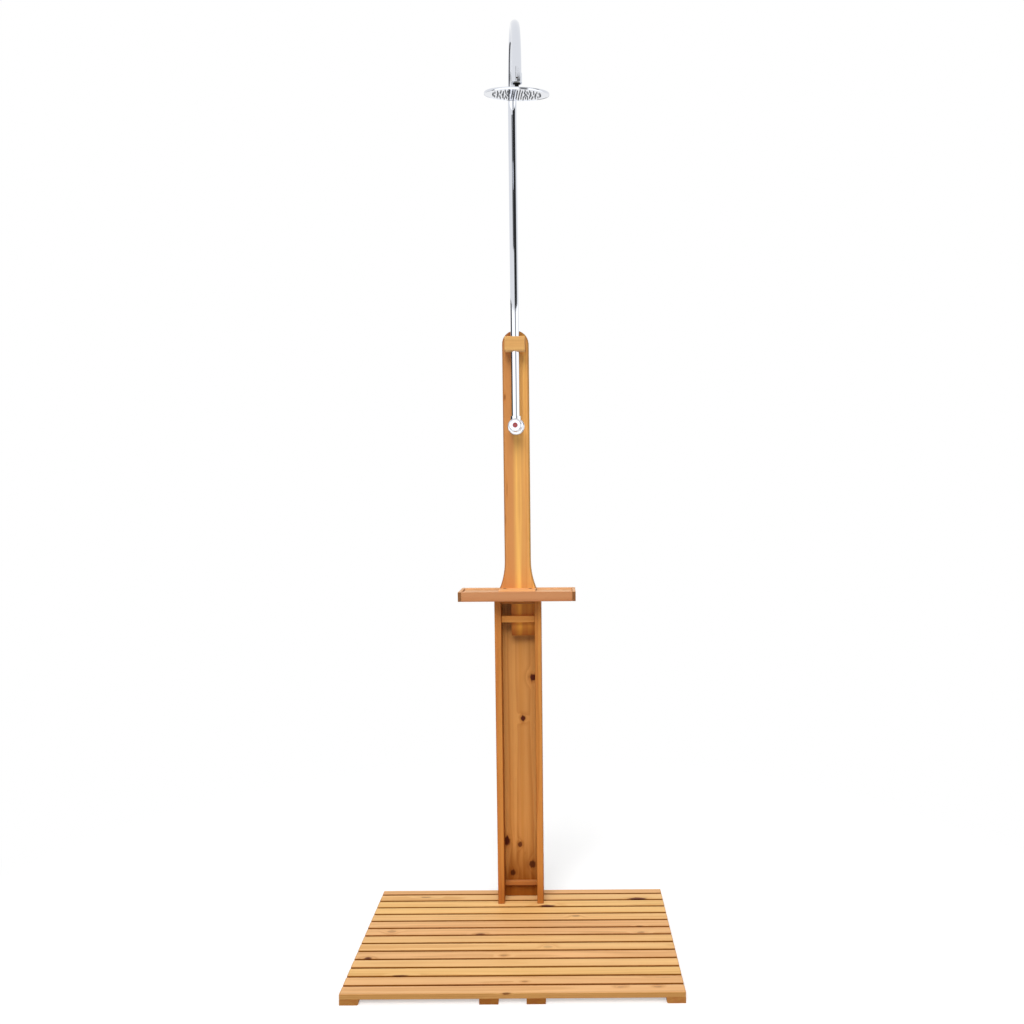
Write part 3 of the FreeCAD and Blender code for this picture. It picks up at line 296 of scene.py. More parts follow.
class Knot(Effect):
    """A branch cut across: a dark core, a halo of darker grain and a push on the rings around it."""

    name = "knot"
    takes = (
        ("Grain Point", "Vector", (0, 0, 0)),
        ("Centre", "Vector", (0, 0, 0)),
        ("Reach", "Vector", (100, 200, 0)),
        ("Strength", "Float", 1.0),
        ("Core In", "Float", 0.0),
        ("Halo In", "Float", 0.0),
        ("Push In", "Float", 0.0),
    )
    gives = (("Core", "Float"), ("Halo", "Float"), ("Push", "Float"))

    CORE_EDGE = (1.12, 0.62)
    HALO_EDGE = (2.0, 0.8)
    PUSH_EDGE = (3.6, 0.0)
    PUSH_DEPTH = 0.005
    WOBBLE_SCALE = (70, 160, 160)
    WOBBLE_LEAST = 0.5

    def wire(self, graph: Graph, inputs: bpy.types.NodeOutputs) -> dict[str, bpy.types.NodeSocket]:
        """Distance from the centre, measured in the knot's own radii, sets all three masks.

        Args:
            graph: the group's own graph.
            inputs: the group's inputs.

        Returns:
            Core, Halo and Push, each joined to what came in.
        """
        away = graph.add("VectorMath", {0: inputs["Grain Point"], 1: inputs["Centre"]}, operation="SUBTRACT")
        radii = graph.add("VectorMath", {0: away.outputs[0], 1: inputs["Reach"]}, operation="MULTIPLY")
        wobble = graph.noise(graph.scaled(inputs["Grain Point"], self.WOBBLE_SCALE), 1.0)
        length = graph.add("VectorMath", {0: radii.outputs[0]}, operation="LENGTH").outputs["Value"]
        distance = graph.math("MULTIPLY", length, graph.math("ADD", wobble, self.WOBBLE_LEAST))
        core = graph.math("MULTIPLY", graph.smooth(distance, *self.CORE_EDGE), inputs["Strength"])
        halo = graph.math("MULTIPLY", graph.smooth(distance, *self.HALO_EDGE), inputs["Strength"])
        push = graph.math("MULTIPLY", graph.smooth(length, *self.PUSH_EDGE), self.PUSH_DEPTH)
        return {
            "Core": graph.math("MAXIMUM", core, inputs["Core In"]),
            "Halo": graph.math("MAXIMUM", halo, inputs["Halo In"]),
            "Push": graph.math("ADD", push, inputs["Push In"]),
        }


class Softwood(Effect):
    """Growth rings about a pith that lies outside the board, so that faces, edges and ends all agree."""

    name = "softwood"
    takes = (
        ("Grain Point", "Vector", (0, 0, 0)),
        ("Pith", "Vector", (0, 0.01, -0.06)),
        ("Ring Width", "Float", 0.004),
        ("Seed", "Float", 0.0),
        ("Push", "Float", 0.0),
        ("Heart Edge", "Float", -1.0),
    )
    gives = (("Late", "Float"), ("Fibre", "Float"), ("Band", "Float"), ("Drift", "Float"), ("Heart", "Float"))

    SLOW_SCALE = (1.1, 9, 9)
    SLOW_DEPTH = 0.014
    FINE_SCALE = (9, 140, 140)
    FINE_DEPTH = 0.0016
    LATE_RISE = (0.30, 0.86)
    LATE_FALL = (1.0, 0.91)
    WEAKEST_RING = 0.35
    HEART_BLEND = (0.010, -0.010)
    FIBRE_SCALE = (22, 900, 900)
    BAND_SCALE = (1.1, 62, 62)
    DRIFT_SCALE = (2.4, 5, 5)

    def wire(self, graph: Graph, inputs: bpy.types.NodeOutputs) -> dict[str, bpy.types.NodeSocket]:
        """Ring number = (distance from the pith + a slow wave + the knots' push) over the ring's width.

        Args:
            graph: the group's own graph.
            inputs: the group's inputs.

        Returns:
            Late is the dark late wood of a ring, Fibre the fine streaks along the grain, Band the broad
            streaks, Drift a slow change along the board and Heart the redder wood on one side of it.
        """
        seed = graph.add("CombineXYZ", {0: inputs["Seed"], 1: inputs["Seed"], 2: inputs["Seed"]}).outputs[0]
        point = graph.add("VectorMath", {0: inputs["Grain Point"], 1: seed}, operation="ADD").outputs[0]
        across = graph.add("VectorMath", {0: inputs["Grain Point"], 1: inputs["Pith"]}, operation="SUBTRACT")
        flat = graph.scaled(across.outputs[0], (0, 1, 1))
        distance = graph.add("VectorMath", {0: flat}, operation="LENGTH").outputs["Value"]
        slow = graph.noise(graph.scaled(point, self.SLOW_SCALE), 1.0)
        wave = graph.math("MULTIPLY", graph.math("SUBTRACT", slow, 0.5), self.SLOW_DEPTH)
        fine = graph.noise(graph.scaled(point, self.FINE_SCALE), 1.0)
        shiver = graph.math("MULTIPLY", graph.math("SUBTRACT", fine, 0.5), self.FINE_DEPTH)
        shift = graph.math("ADD", shiver, inputs["Push"])
        radius = graph.math("ADD", graph.math("ADD", distance, wave), shift)
        ring = graph.math("DIVIDE", radius, inputs["Ring Width"])
        part = graph.math("FRACT", ring)
        rise = graph.smooth(part, *self.LATE_RISE)
        fall = graph.smooth(part, *self.LATE_FALL)
        number = graph.math("FLOOR", ring)
        strong = graph.add("TexWhiteNoise", {"W": number}, noise_dimensions="1D").outputs["Value"]
        strength = graph.math("ADD", strong, self.WEAKEST_RING)
        late = graph.math("MULTIPLY", graph.math("MULTIPLY", rise, fall), strength)
        across_board = graph.add("SeparateXYZ", {0: inputs["Grain Point"]}).outputs["Y"]
        side = graph.math("SUBTRACT", graph.math("ADD", across_board, wave), inputs["Heart Edge"])
        return {
            "Heart": graph.smooth(side, *self.HEART_BLEND),
            "Late": late,
            "Fibre": graph.noise(graph.scaled(point, self.FIBRE_SCALE), 1.0, 4.0),
            "Band": graph.noise(graph.scaled(point, self.BAND_SCALE), 1.0, 3.0),
            "Drift": graph.noise(graph.scaled(point, self.DRIFT_SCALE), 1.0),
        }


class OiledSurface(Effect):
    """Turns the wood's masks into its colour, roughness and relief."""

    name = "oiled_surface"
    takes = (
        ("Late", "Float", 0.0),
        ("Fibre", "Float", 0.5),
        ("Band", "Float", 0.5),
        ("Drift", "Float", 0.5),
        ("Heart", "Float", 0.0),
        ("Core", "Float", 0.0),
        ("Halo", "Float", 0.0),
        ("Ring Contrast", "Float", 0.4),
        ("Early Wood", "Color", (0.8, 0.5, 0.2, 1)),
        ("Late Wood", "Color", (0.6, 0.3, 0.1, 1)),
        ("Warm Streak", "Color", (0.8, 0.4, 0.15, 1)),
        ("Knot Wood", "Color", (0.07, 0.015, 0.004, 1)),
    )
    gives = (("Colour", "Color"), ("Roughness", "Float"), ("Height", "Float"))

    BAND_STEP = (0.36, 0.66)
    BAND_SHARE = 0.8
    FIBRE_STEP = (0.45, 0.8)
    FIBRE_SHARE = 0.2
    HALO_SHARE = 0.5
    DRIFT_SPAN = (0.3, 0.7)
    DRIFT_LEVELS = (0.95, 1.04)
    ROUGH_LEVELS = (0.36, 0.58)
    KNOT_POLISH = 0.12
    LATE_RELIEF = 0.7
    KNOT_RELIEF = 0.5

    def wire(self, graph: Graph, inputs: bpy.types.NodeOutputs) -> dict[str, bpy.types.NodeSocket]:
        """Early wood, then warm bands, late wood, a reddish halo and the knots' cores, one over the other.

        Args:
            graph: the group's own graph.
            inputs: the group's inputs.

        Returns:
            Colour, Roughness and Height.
        """
        band = graph.math("MULTIPLY", graph.smooth(inputs["Band"], *self.BAND_STEP), self.BAND_SHARE)
        warm_share = graph.math("MAXIMUM", band, inputs["Heart"])
        base = graph.blend(warm_share, inputs["Early Wood"], inputs["Warm Streak"])
        late_share = graph.math("MULTIPLY", inputs["Late"], inputs["Ring Contrast"])
        ringed = graph.blend(late_share, base, inputs["Late Wood"])
        fibre = graph.smooth(inputs["Fibre"], *self.FIBRE_STEP)
        fibre_share = graph.math("MULTIPLY", fibre, self.FIBRE_SHARE)
        streaked = graph.blend(fibre_share, ringed, inputs["Late Wood"])
        halo_share = graph.math("MULTIPLY", inputs["Halo"], self.HALO_SHARE)
        haloed = graph.blend(halo_share, streaked, inputs["Late Wood"])
        cored = graph.blend(inputs["Core"], haloed, inputs["Knot Wood"])
        level = graph.ramp(inputs["Drift"], self.DRIFT_SPAN, self.DRIFT_LEVELS)
        toned = graph.add("VectorMath", {0: cored, 3: level}, operation="SCALE").outputs[0]
        rough = graph.ramp(inputs["Fibre"], (0.0, 1.0), self.ROUGH_LEVELS)
        polish = graph.math("MULTIPLY", inputs["Core"], self.KNOT_POLISH)
        ridge = graph.math("MULTIPLY", inputs["Late"], self.LATE_RELIEF)
        relief = graph.math("SUBTRACT", ridge, inputs["Fibre"])
        hollow = graph.math("MULTIPLY", inputs["Core"], self.KNOT_RELIEF)
        return {
            "Colour": toned,
            "Roughness": graph.math("SUBTRACT", rough, polish),
            "Height": graph.math("SUBTRACT", relief, hollow),
        }


class EndGrainAndPaintedShade(Effect):
    """Darker end grain, painted shade on chosen faces such as in slat gaps, and a darker band at edges."""

    name = "sawn_edges"
    takes = (
        ("Colour", "Color", (0.8, 0.5, 0.2, 1)),
        ("Grain Normal", "Vector", (0, 0, 1)),
        ("Low Side", "Color", (1, 1, 1, 1)),
        ("High Side", "Color", (1, 1, 1, 1)),
        ("Ends", "Color", (0.8, 0.8, 0.8, 1)),
        ("Grain Point", "Vector", (0, 0, 0)),
        ("Half Length", "Float", 9.0),
        ("Half Width", "Float", 9.0),
        ("End Reach", "Float", 0.001),
        ("Side Reach", "Float", 0.001),
        ("Soil", "Color", (1, 1, 1, 1)),
    )
    gives = (("Colour", "Color"),)

    SIDE_TURN = (0.22, 0.80)
    END_TURN = (0.5, 0.9)

    def wire(self, graph: Graph, inputs: bpy.types.NodeOutputs) -> dict[str, bpy.types.NodeSocket]:
        """Colour times each shade, with masks from the face's turn and the nearness of an edge.

        Args:
            graph: the group's own graph.
            inputs: the group's inputs.

        Returns:
            The shaded Colour.
        """
        turn = graph.add("SeparateXYZ", {0: inputs["Grain Normal"]}).outputs
        low_mask = graph.smooth(graph.math("MULTIPLY", turn["Y"], -1.0), *self.SIDE_TURN)
        high_mask = graph.smooth(turn["Y"], *self.SIDE_TURN)
        end_mask = graph.smooth(graph.math("ABSOLUTE", turn["X"]), *self.END_TURN)
        place = graph.add("SeparateXYZ", {0: inputs["Grain Point"]}).outputs
        nearness = []
        for axis, half, reach in (("X", "Half Length", "End Reach"), ("Y", "Half Width", "Side Reach")):
            inner = graph.math("SUBTRACT", inputs[half], inputs[reach])
            nearness.append(graph.smooth(graph.math("ABSOLUTE", place[axis]), inner, inputs[half]))
        # A band near the ends and sides is darkened; on the slats and the plank's arch this is painted shade.
        edge_darkening_mask = graph.math("MAXIMUM", *nearness)
        shaded = inputs["Colour"]
        masks = ((low_mask, "Low Side"), (high_mask, "High Side"), (end_mask, "Ends"), (edge_darkening_mask, "Soil"))
        for mask, side in masks:
            shade = graph.blend(mask, UNTOUCHED, inputs[side])
            shaded = graph.add("VectorMath", {0: shaded, 1: shade}, operation="MULTIPLY").outputs[0]
        return {"Colour": shaded}


class HeightDarkening(Effect):
    """Darkens a stretch along a board's grain: painted shade at the recess's foot and under the shelf."""

    name = "height_stain"
    takes = (
        ("Colour", "Color", (0.8, 0.5, 0.2, 1)),
        ("Grain Point", "Vector", (0, 0, 0)),
        ("Starts", "Float", -9.0),
        ("Full", "Float", -9.1),
        ("Shade", "Color", (1, 1, 1, 1)),
    )
    gives = (("Colour", "Color"),)

    RAGGED_SCALE = (6, 60, 60)

    def wire(self, graph: Graph, inputs: bpy.types.NodeOutputs) -> dict[str, bpy.types.NodeSocket]:
        """Colour times white blended to the shade by the place along the grain, with a ragged edge.

        Args:
            graph: the group's own graph.
            inputs: the group's inputs.

        Returns:
            The shaded Colour.
        """
        along = graph.add("SeparateXYZ", {0: inputs["Grain Point"]}).outputs["X"]
        ragged = graph.noise(graph.scaled(inputs["Grain Point"], self.RAGGED_SCALE), 1.0)
        room = graph.math("SUBTRACT", inputs["Full"], inputs["Starts"])
        shift = graph.math("MULTIPLY", graph.math("SUBTRACT", ragged, 0.5), room)
        mask = graph.smooth(graph.math("ADD", along, shift), inputs["Starts"], inputs["Full"])
        shade = graph.blend(mask, UNTOUCHED, inputs["Shade"])
        shaded = graph.add("VectorMath", {0: inputs["Colour"], 1: shade}, operation="MULTIPLY").outputs[0]
        return {"Colour": shaded}


class Patina(Effect):
    """Faint water marks and wiping haze on a polished or moulded surface."""

    name = "patina"
    takes = (
        ("Point", "Vector", (0, 0, 0)),
        ("Polish", "Float", 0.05),
        ("Haze", "Float", 0.08),
        ("Clean", "Color", (0.8, 0.8, 0.8, 1)),
        ("Marked", "Color", (0.7, 0.7, 0.7, 1)),
    )
    gives = (("Colour", "Color"), ("Roughness", "Float"), ("Height", "Float"))

    CLOUD_SCALE = 38.0
    CLOUD_STEP = (0.42, 0.78)
    CLOUD_SHARE = 0.5
    CELL_SCALE = 150.0
    SPOT_RIM = (0.30, 0.12)
    SPOT_HOLLOW = (0.04, 0.14)
    MARK_SHARE = 0.7

    def wire(self, graph: Graph, inputs: bpy.types.NodeOutputs) -> dict[str, bpy.types.NodeSocket]:
        """Roughness = polish + haze times a cloud, with small round water marks that are a little duller.

        Args:
            graph: the group's own graph.
            inputs: the group's inputs.

        Returns:
            Colour, Roughness and Height.
        """
        point = inputs["Point"]
        cloud = graph.smooth(graph.noise(point, self.CLOUD_SCALE, 4.0), *self.CLOUD_STEP)
        cells = graph.add("TexVoronoi", {"Vector": point, "Scale": self.CELL_SCALE}).outputs["Distance"]
        rim, hollow = graph.smooth(cells, *self.SPOT_RIM), graph.smooth(cells, *self.SPOT_HOLLOW)
        marks = graph.math("MULTIPLY", graph.math("MULTIPLY", rim, hollow), cloud)
        dullness = graph.math("MAXIMUM", graph.math("MULTIPLY", cloud, self.CLOUD_SHARE), marks)
        haze = graph.math("MULTIPLY", dullness, inputs["Haze"])
        marked_share = graph.math("MULTIPLY", marks, self.MARK_SHARE)
        return {
            "Colour": graph.blend(marked_share, inputs["Clean"], inputs["Marked"]),
            "Roughness": graph.math("ADD", haze, inputs["Polish"]),
            "Height": cloud,
        }


KNOT = Knot()
SOFTWOOD = Softwood()
OILED_SURFACE = OiledSurface()
END_GRAIN_AND_PAINTED_SHADE = EndGrainAndPaintedShade()
HEIGHT_DARKENING = HeightDarkening()
PATINA = Patina()


# Finishes


class Grain(Enum):
    """Which way a board's grain runs, with the turn that carries that axis to the pattern's x axis."""

    ALONG_X = Matrix(((1, 0, 0), (0, 1, 0), (0, 0, 1)))
    ALONG_Y = Matrix(((0, 1, 0), (-1, 0, 0), (0, 0, 1)))
    ALONG_Z = Matrix(((0, 0, 1), (1, 0, 0), (0, 1, 0)))


@dataclass(frozen=True)
class WoodTone:
    """The colours of one batch of boards."""

    early: Colour
    late: Colour
    warm: Colour
    knot: Colour = srgb(104, 48, 16)


# Darker end grain; on the plank's left face the same colour serves as painted shade.
END_GRAIN_AND_SIDE_SHADE: Colour = (0.72, 0.66, 0.60, 1.0)
# Painted shade on the plank's right face.
PLANK_SIDE_PAINTED_SHADE: Colour = (0.63, 0.60, 0.45, 1.0)
# Painted shade on the front slat's front face and the rear slat's back face, darker than the lit tops.
OPEN_SLAT_FACE_PAINTED_SHADE: Colour = (0.77, 0.83, 0.79, 1.0)
# Painted shade on the shelf front rail's front and back faces, with a slightly pinker tone of the wood.
SHELF_RAIL_FACE_PAINTED_SHADE: Colour = (0.86, 0.73, 0.73, 1.0)
DARK_END: Colour = (0.40, 0.33, 0.28, 1.0)
# Painted shade on the slat faces inside the gaps between slats.
GAP_FACE_PAINTED_SHADE: Colour = (0.38, 0.25, 0.11, 1.0)
# Painted shade in a band along each slat's ends and sides, which widens the dark gap lines.
GAP_EDGE_PAINTED_SHADE: Colour = (0.78, 0.66, 0.48, 1.0)
# Darker in a band near each board's ends and sides.
BOARD_EDGE_DARKENING: Colour = (0.82, 0.74, 0.62, 1.0)
# Painted shadow of the pipe block on the plank's arch, in a band near the plank's ends.
ARCH_PAINTED_SHADOW: Colour = (0.46, 0.34, 0.24, 1.0)
OUTER_RUNNER_END: Colour = (0.70, 0.78, 0.88, 1.0)
INNER_RUNNER_END: Colour = (0.50, 0.47, 0.36, 1.0)
# Painted shade low on the back board, deep in the recess and under the lower crosspiece.
FOOT_PAINTED_SHADE: Colour = (0.45, 0.29, 0.11, 1.0)
# The side boards are darker towards the bottom.
SIDE_BOARD_FOOT_DARKENING: Colour = (0.78, 0.66, 0.56, 1.0)
TONGUE_SHADE: Colour = (0.98, 0.78, 0.42, 1.0)
DECK_TONE = WoodTone(early=srgb(241, 195, 134), late=srgb(206, 148, 84), warm=srgb(233, 182, 120))
DECK_YELLOW = WoodTone(early=srgb(243, 197, 131), late=srgb(212, 156, 86), warm=srgb(236, 188, 120))
DECK_PINK = WoodTone(early=srgb(237, 187, 131), late=srgb(200, 140, 84), warm=srgb(230, 175, 120))
POST_TONE = WoodTone(early=srgb(200, 134, 65), late=srgb(161, 89, 35), warm=srgb(193, 119, 60))
PANEL_TONE = WoodTone(
    early=srgb(210, 150, 83), late=srgb(168, 100, 44), warm=srgb(200, 136, 68), knot=srgb(80, 30, 14)
)
PLANK_TONE = WoodTone(early=srgb(253, 201, 108), late=srgb(210, 132, 62), warm=srgb(211, 144, 84))
SHELF_TONE = WoodTone(early=srgb(231, 183, 135), late=srgb(198, 138, 90), warm=srgb(224, 168, 120))
CENTRE_TONE = WoodTone(early=srgb(241, 181, 121), late=srgb(214, 146, 88), warm=srgb(235, 169, 109))
CROSS_TONE = WoodTone(early=srgb(246, 180, 100), late=srgb(212, 138, 72), warm=srgb(236, 166, 88))
# The crosspiece wood painted darker as shade low in the recess; the upper crosspiece is the same wood.
SHADED_FOOT_CROSS_TONE = WoodTone(early=srgb(197, 131, 74), late=srgb(165, 99, 50), warm=srgb(188, 119, 63))
BLOCK_TONE = WoodTone(early=srgb(248, 200, 134), late=srgb(224, 170, 102), warm=srgb(242, 188, 122))


@dataclass(frozen=True)
class KnotPlace:
    """One knot: its place from the board's middle, its radii along and across, and its depth, in metres."""

    along: float
    across: float
    long_radius: float
    short_radius: float
    strength: float = 1.0
    height: float = 0.0
    depth: float = 1.0


@dataclass(frozen=True)
class BoardFinish:
    """The oiled wood of one board."""

    name: str
    tone: WoodTone
    grain: Grain
    centre: Triple
    pith: Triple
    ring_width: float
    seed: float
    knots: tuple[KnotPlace, ...] = ()
    ring_contrast: float = 0.4
    heart_edge: float = -1.0
    sides: tuple[Colour, Colour] = (UNTOUCHED, UNTOUCHED)
    ends: Colour = END_GRAIN_AND_SIDE_SHADE
    size: Triple = (9.0, 9.0, 9.0)
    edge_darkening: Colour = UNTOUCHED
    edge_darkening_reach: tuple[float, float] = (0.003, 0.003)
    darkening_span: tuple[float, float] = (-9.0, -9.1)
    darkening_colour: Colour = UNTOUCHED

    BUMP = 0.12
    BUMP_DEPTH = 0.0006
    SPECULAR = 0.08

    def material(self) -> bpy.types.Material:
        """Builds the board's material.

        Returns:
            The material.
        """
        material, graph, shader = new_material(self.name)
        coordinates = graph.add("TexCoord").outputs
        turn = self.grain.value
        shift = -(turn @ Vector(self.centre))
        angles = turn.to_euler()
        mapping = {"Vector": coordinates["Object"], "Location": shift, "Rotation": angles}
        point = graph.add("Mapping", mapping).outputs["Vector"]
        masks = {"Core": 0.0, "Halo": 0.0, "Push": 0.0}
        for knot in self.knots:
            placed = KNOT.place(
                graph,
                Grain_Point=point,
                Centre=(knot.along, knot.across, knot.height),
                Reach=(1 / knot.long_radius, 1 / knot.short_radius, 1 / knot.depth),
                Strength=knot.strength,
                Core_In=masks["Core"],
                Halo_In=masks["Halo"],
                Push_In=masks["Push"],
            )
            masks = {name: placed[name] for name in masks}
        wood = SOFTWOOD.place(
            graph,
            Grain_Point=point,
            Pith=self.pith,
            Ring_Width=self.ring_width,
            Seed=self.seed,
            Push=masks["Push"],
            Heart_Edge=self.heart_edge,
        )
        surface = OILED_SURFACE.place(
            graph,
            Late=wood["Late"],
            Fibre=wood["Fibre"],
            Band=wood["Band"],
            Drift=wood["Drift"],
            Heart=wood["Heart"],
            Core=masks["Core"],
            Halo=masks["Halo"],
            Ring_Contrast=self.ring_contrast,
            Early_Wood=self.tone.early,
            Late_Wood=self.tone.late,
            Warm_Streak=self.tone.warm,
            Knot_Wood=self.tone.knot,
        )
        normal = graph.add(
            "Mapping", {"Vector": coordinates["Normal"], "Rotation": angles}, vector_type="VECTOR"
        ).outputs["Vector"]
        turned_size = turn @ Vector(self.size)
        # Darker end grain, painted shade on chosen faces and a darker band near the edges.
        edge_shaded = END_GRAIN_AND_PAINTED_SHADE.place(
            graph,
            Colour=surface["Colour"],
            Grain_Normal=normal,
            Low_Side=self.sides[0],
            High_Side=self.sides[1],
            Ends=self.ends,
            Grain_Point=point,
            Half_Length=abs(turned_size.x) / 2,
            Half_Width=abs(turned_size.y) / 2,
            End_Reach=self.edge_darkening_reach[0],
            Side_Reach=self.edge_darkening_reach[1],
            Soil=self.edge_darkening,
        )
        middle = (turn @ Vector(self.centre)).x
        # Darkens a stretch along the grain: painted shade at the back board's foot and on the plank's tongue.
        darkened = HEIGHT_DARKENING.place(
            graph,
            Colour=edge_shaded["Colour"],
            Grain_Point=point,
            Starts=self.darkening_span[0] - middle,
            Full=self.darkening_span[1] - middle,
            Shade=self.darkening_colour,
        )
        graph.feed(shader.inputs["Base Color"], darkened["Colour"])
        graph.feed(shader.inputs["Roughness"], surface["Roughness"])
        graph.feed(shader.inputs["Specular IOR Level"], self.SPECULAR)
        add_bump(graph, shader, surface["Height"], self.BUMP, self.BUMP_DEPTH)
        return material


@dataclass(frozen=True)
class SolidFinish:
    """A metal, plastic or rubber with faint marks."""

    name: str
    clean: Colour
    marked: Colour
    polish: float
    haze: float
    metallic: float = 0.0
    bump: float = 0.0
    coat: float = 0.0
    specular: float = 0.5

    BUMP_DEPTH = 0.0003

    def material(self) -> bpy.types.Material:
        """Builds the material.

        Returns:
            The material.
        """
        material, graph, shader = new_material(self.name)
        marks = PATINA.place(
            graph,
            Point=graph.add("TexCoord").outputs["Object"],
            Polish=self.polish,
            Haze=self.haze,
            Clean=self.clean,
            Marked=self.marked,
        )
        graph.feed(shader.inputs["Base Color"], marks["Colour"])
        graph.feed(shader.inputs["Roughness"], marks["Roughness"])
        graph.feed(shader.inputs["Metallic"], self.metallic)
        graph.feed(shader.inputs["Coat Weight"], self.coat)
        graph.feed(shader.inputs["Specular IOR Level"], self.specular)
        if self.bump:
            add_bump(graph, shader, marks["Height"], self.bump, self.BUMP_DEPTH)
        return material


CHROME = SolidFinish("chrome", srgb(218, 221, 228), srgb(204, 207, 214), 0.04, 0.02, metallic=1.0)
BRASS = SolidFinish("machined_brass", srgb(214, 178, 104), srgb(168, 130, 66), 0.26, 0.2, metallic=1.0)
SCREW_STEEL = SolidFinish("screw_steel", srgb(74, 58, 42), srgb(46, 36, 26), 0.45, 0.2, metallic=1.0)
BLACK_ACETAL = SolidFinish("black_acetal", srgb(10, 10, 11), srgb(20, 20, 21), 0.5, 0.15, specular=0.15)
SEAT_ACETAL = SolidFinish("seat_acetal", srgb(222, 220, 210), srgb(190, 186, 174), 0.4, 0.15)
SEAL_RUBBER = SolidFinish("seal_rubber", srgb(30, 30, 31), srgb(52, 52, 52), 0.55, 0.2, bump=0.1)
NOZZLE_RUBBER = SolidFinish("nozzle_rubber", srgb(118, 121, 125), srgb(140, 142, 144), 0.5, 0.2, bump=0.08)
RED_INDEX = SolidFinish("red_index", srgb(150, 10, 14), srgb(176, 40, 40), 0.12, 0.12, coat=0.8)


def new_material(name: str) -> tuple[bpy.types.Material, Graph, bpy.types.Node]:
    """An empty node material with its own shader.

    Args:
        name: the material's name.

    Returns:
        The material, its graph and its Principled BSDF.
    """
    material = bpy.data.materials.new(name)
    material.use_nodes = True
    graph = Graph(material.node_tree)
    return material, graph, graph.first("BSDF_PRINCIPLED")


def add_bump(graph: Graph, shader: bpy.types.Node, height: object, strength: float, depth: float) -> None:
    """Feeds a height to the shader's normal.

    Args:
        graph: the material's graph.
        shader: the Principled BSDF.
        height: the height's socket.
        strength: the Bump node's strength.
        depth: its distance, in metres.
    """
    bump = graph.add("Bump", {"Height": height, "Strength": strength, "Distance": depth})
    graph.feed(shader.inputs["Normal"], bump.outputs["Normal"])


# Surfaces


def arc(centre: tuple[float, float], radius: float, start: float, end: float, steps: int) -> np.ndarray:
    """Points on a circle: centre + radius times (cosine, sine) of the angle, from start to end.

    Args:
        centre: the circle's centre as (radius, height).
        radius: its radius.
        start: the first angle, in degrees.
        end: the last angle, in degrees.
        steps: the number of stretches.

    Returns:
        The points, one a row.
    """
    angle = np.radians(np.linspace(start, end, steps + 1))
    return np.column_stack((centre[0] + radius * np.cos(angle), centre[1] + radius * np.sin(angle)))


def eased(corners: Sequence[tuple[float, float]], radius: float, steps: int = 5) -> np.ndarray:
    """A closed profile whose corners off the axis are rounded.

    Each corner becomes a quadratic curve between the two points that lie one radius away from it:
    (1 - t) squared times the first + 2 t (1 - t) times the corner + t squared times the last.

    Args:
        corners: the profile's corners as (radius, height).
        radius: how far from each corner its curve starts, at most 0.45 of the shorter side.
        steps: the number of stretches in each curve.

    Returns:
        The profile's points, one a row.
    """
    points = np.array(corners, float)
    before = np.roll(points, 1, axis=0) - points
    after = np.roll(points, -1, axis=0) - points
    lengths = np.minimum(np.linalg.norm(before, axis=1), np.linalg.norm(after, axis=1))
    reach = np.minimum(radius, 0.45 * lengths)[:, None]
    first = points + before / np.linalg.norm(before, axis=1)[:, None] * reach
    last = points + after / np.linalg.norm(after, axis=1)[:, None] * reach
    t = np.linspace(0, 1, steps + 1)[None, :, None]
    curve = (1 - t) ** 2 * first[:, None] + 2 * t * (1 - t) * points[:, None] + t**2 * last[:, None]
    on_axis = np.isclose(points[:, 0], 0)
    return np.concatenate([points[k : k + 1] if on_axis[k] else curve[k] for k in range(len(points))])


def grid_faces(rows: int, columns: int, close_rows: bool, close_columns: bool, offset: int = 0) -> np.ndarray:
    """The quads of a grid whose point (i, j) is number i times columns + j.

    Args:
        rows: points along the first parameter.
        columns: points along the second parameter.
        close_rows: whether the last row joins the first.
        close_columns: whether the last column joins the first.
        offset: the first point's number.

    Returns:
        Four point numbers a row.
    """
    i = np.arange(rows if close_rows else rows - 1)[:, None]
    j = np.arange(columns if close_columns else columns - 1)[None, :]
    i_next, j_next = (i + 1) % rows, (j + 1) % columns
    quads = (i * columns + j, i * columns + j_next, i_next * columns + j_next, i_next * columns + j)
    return np.stack([np.broadcast_to(quad, (i.size, j.size)).ravel() for quad in quads], axis=1) + offset


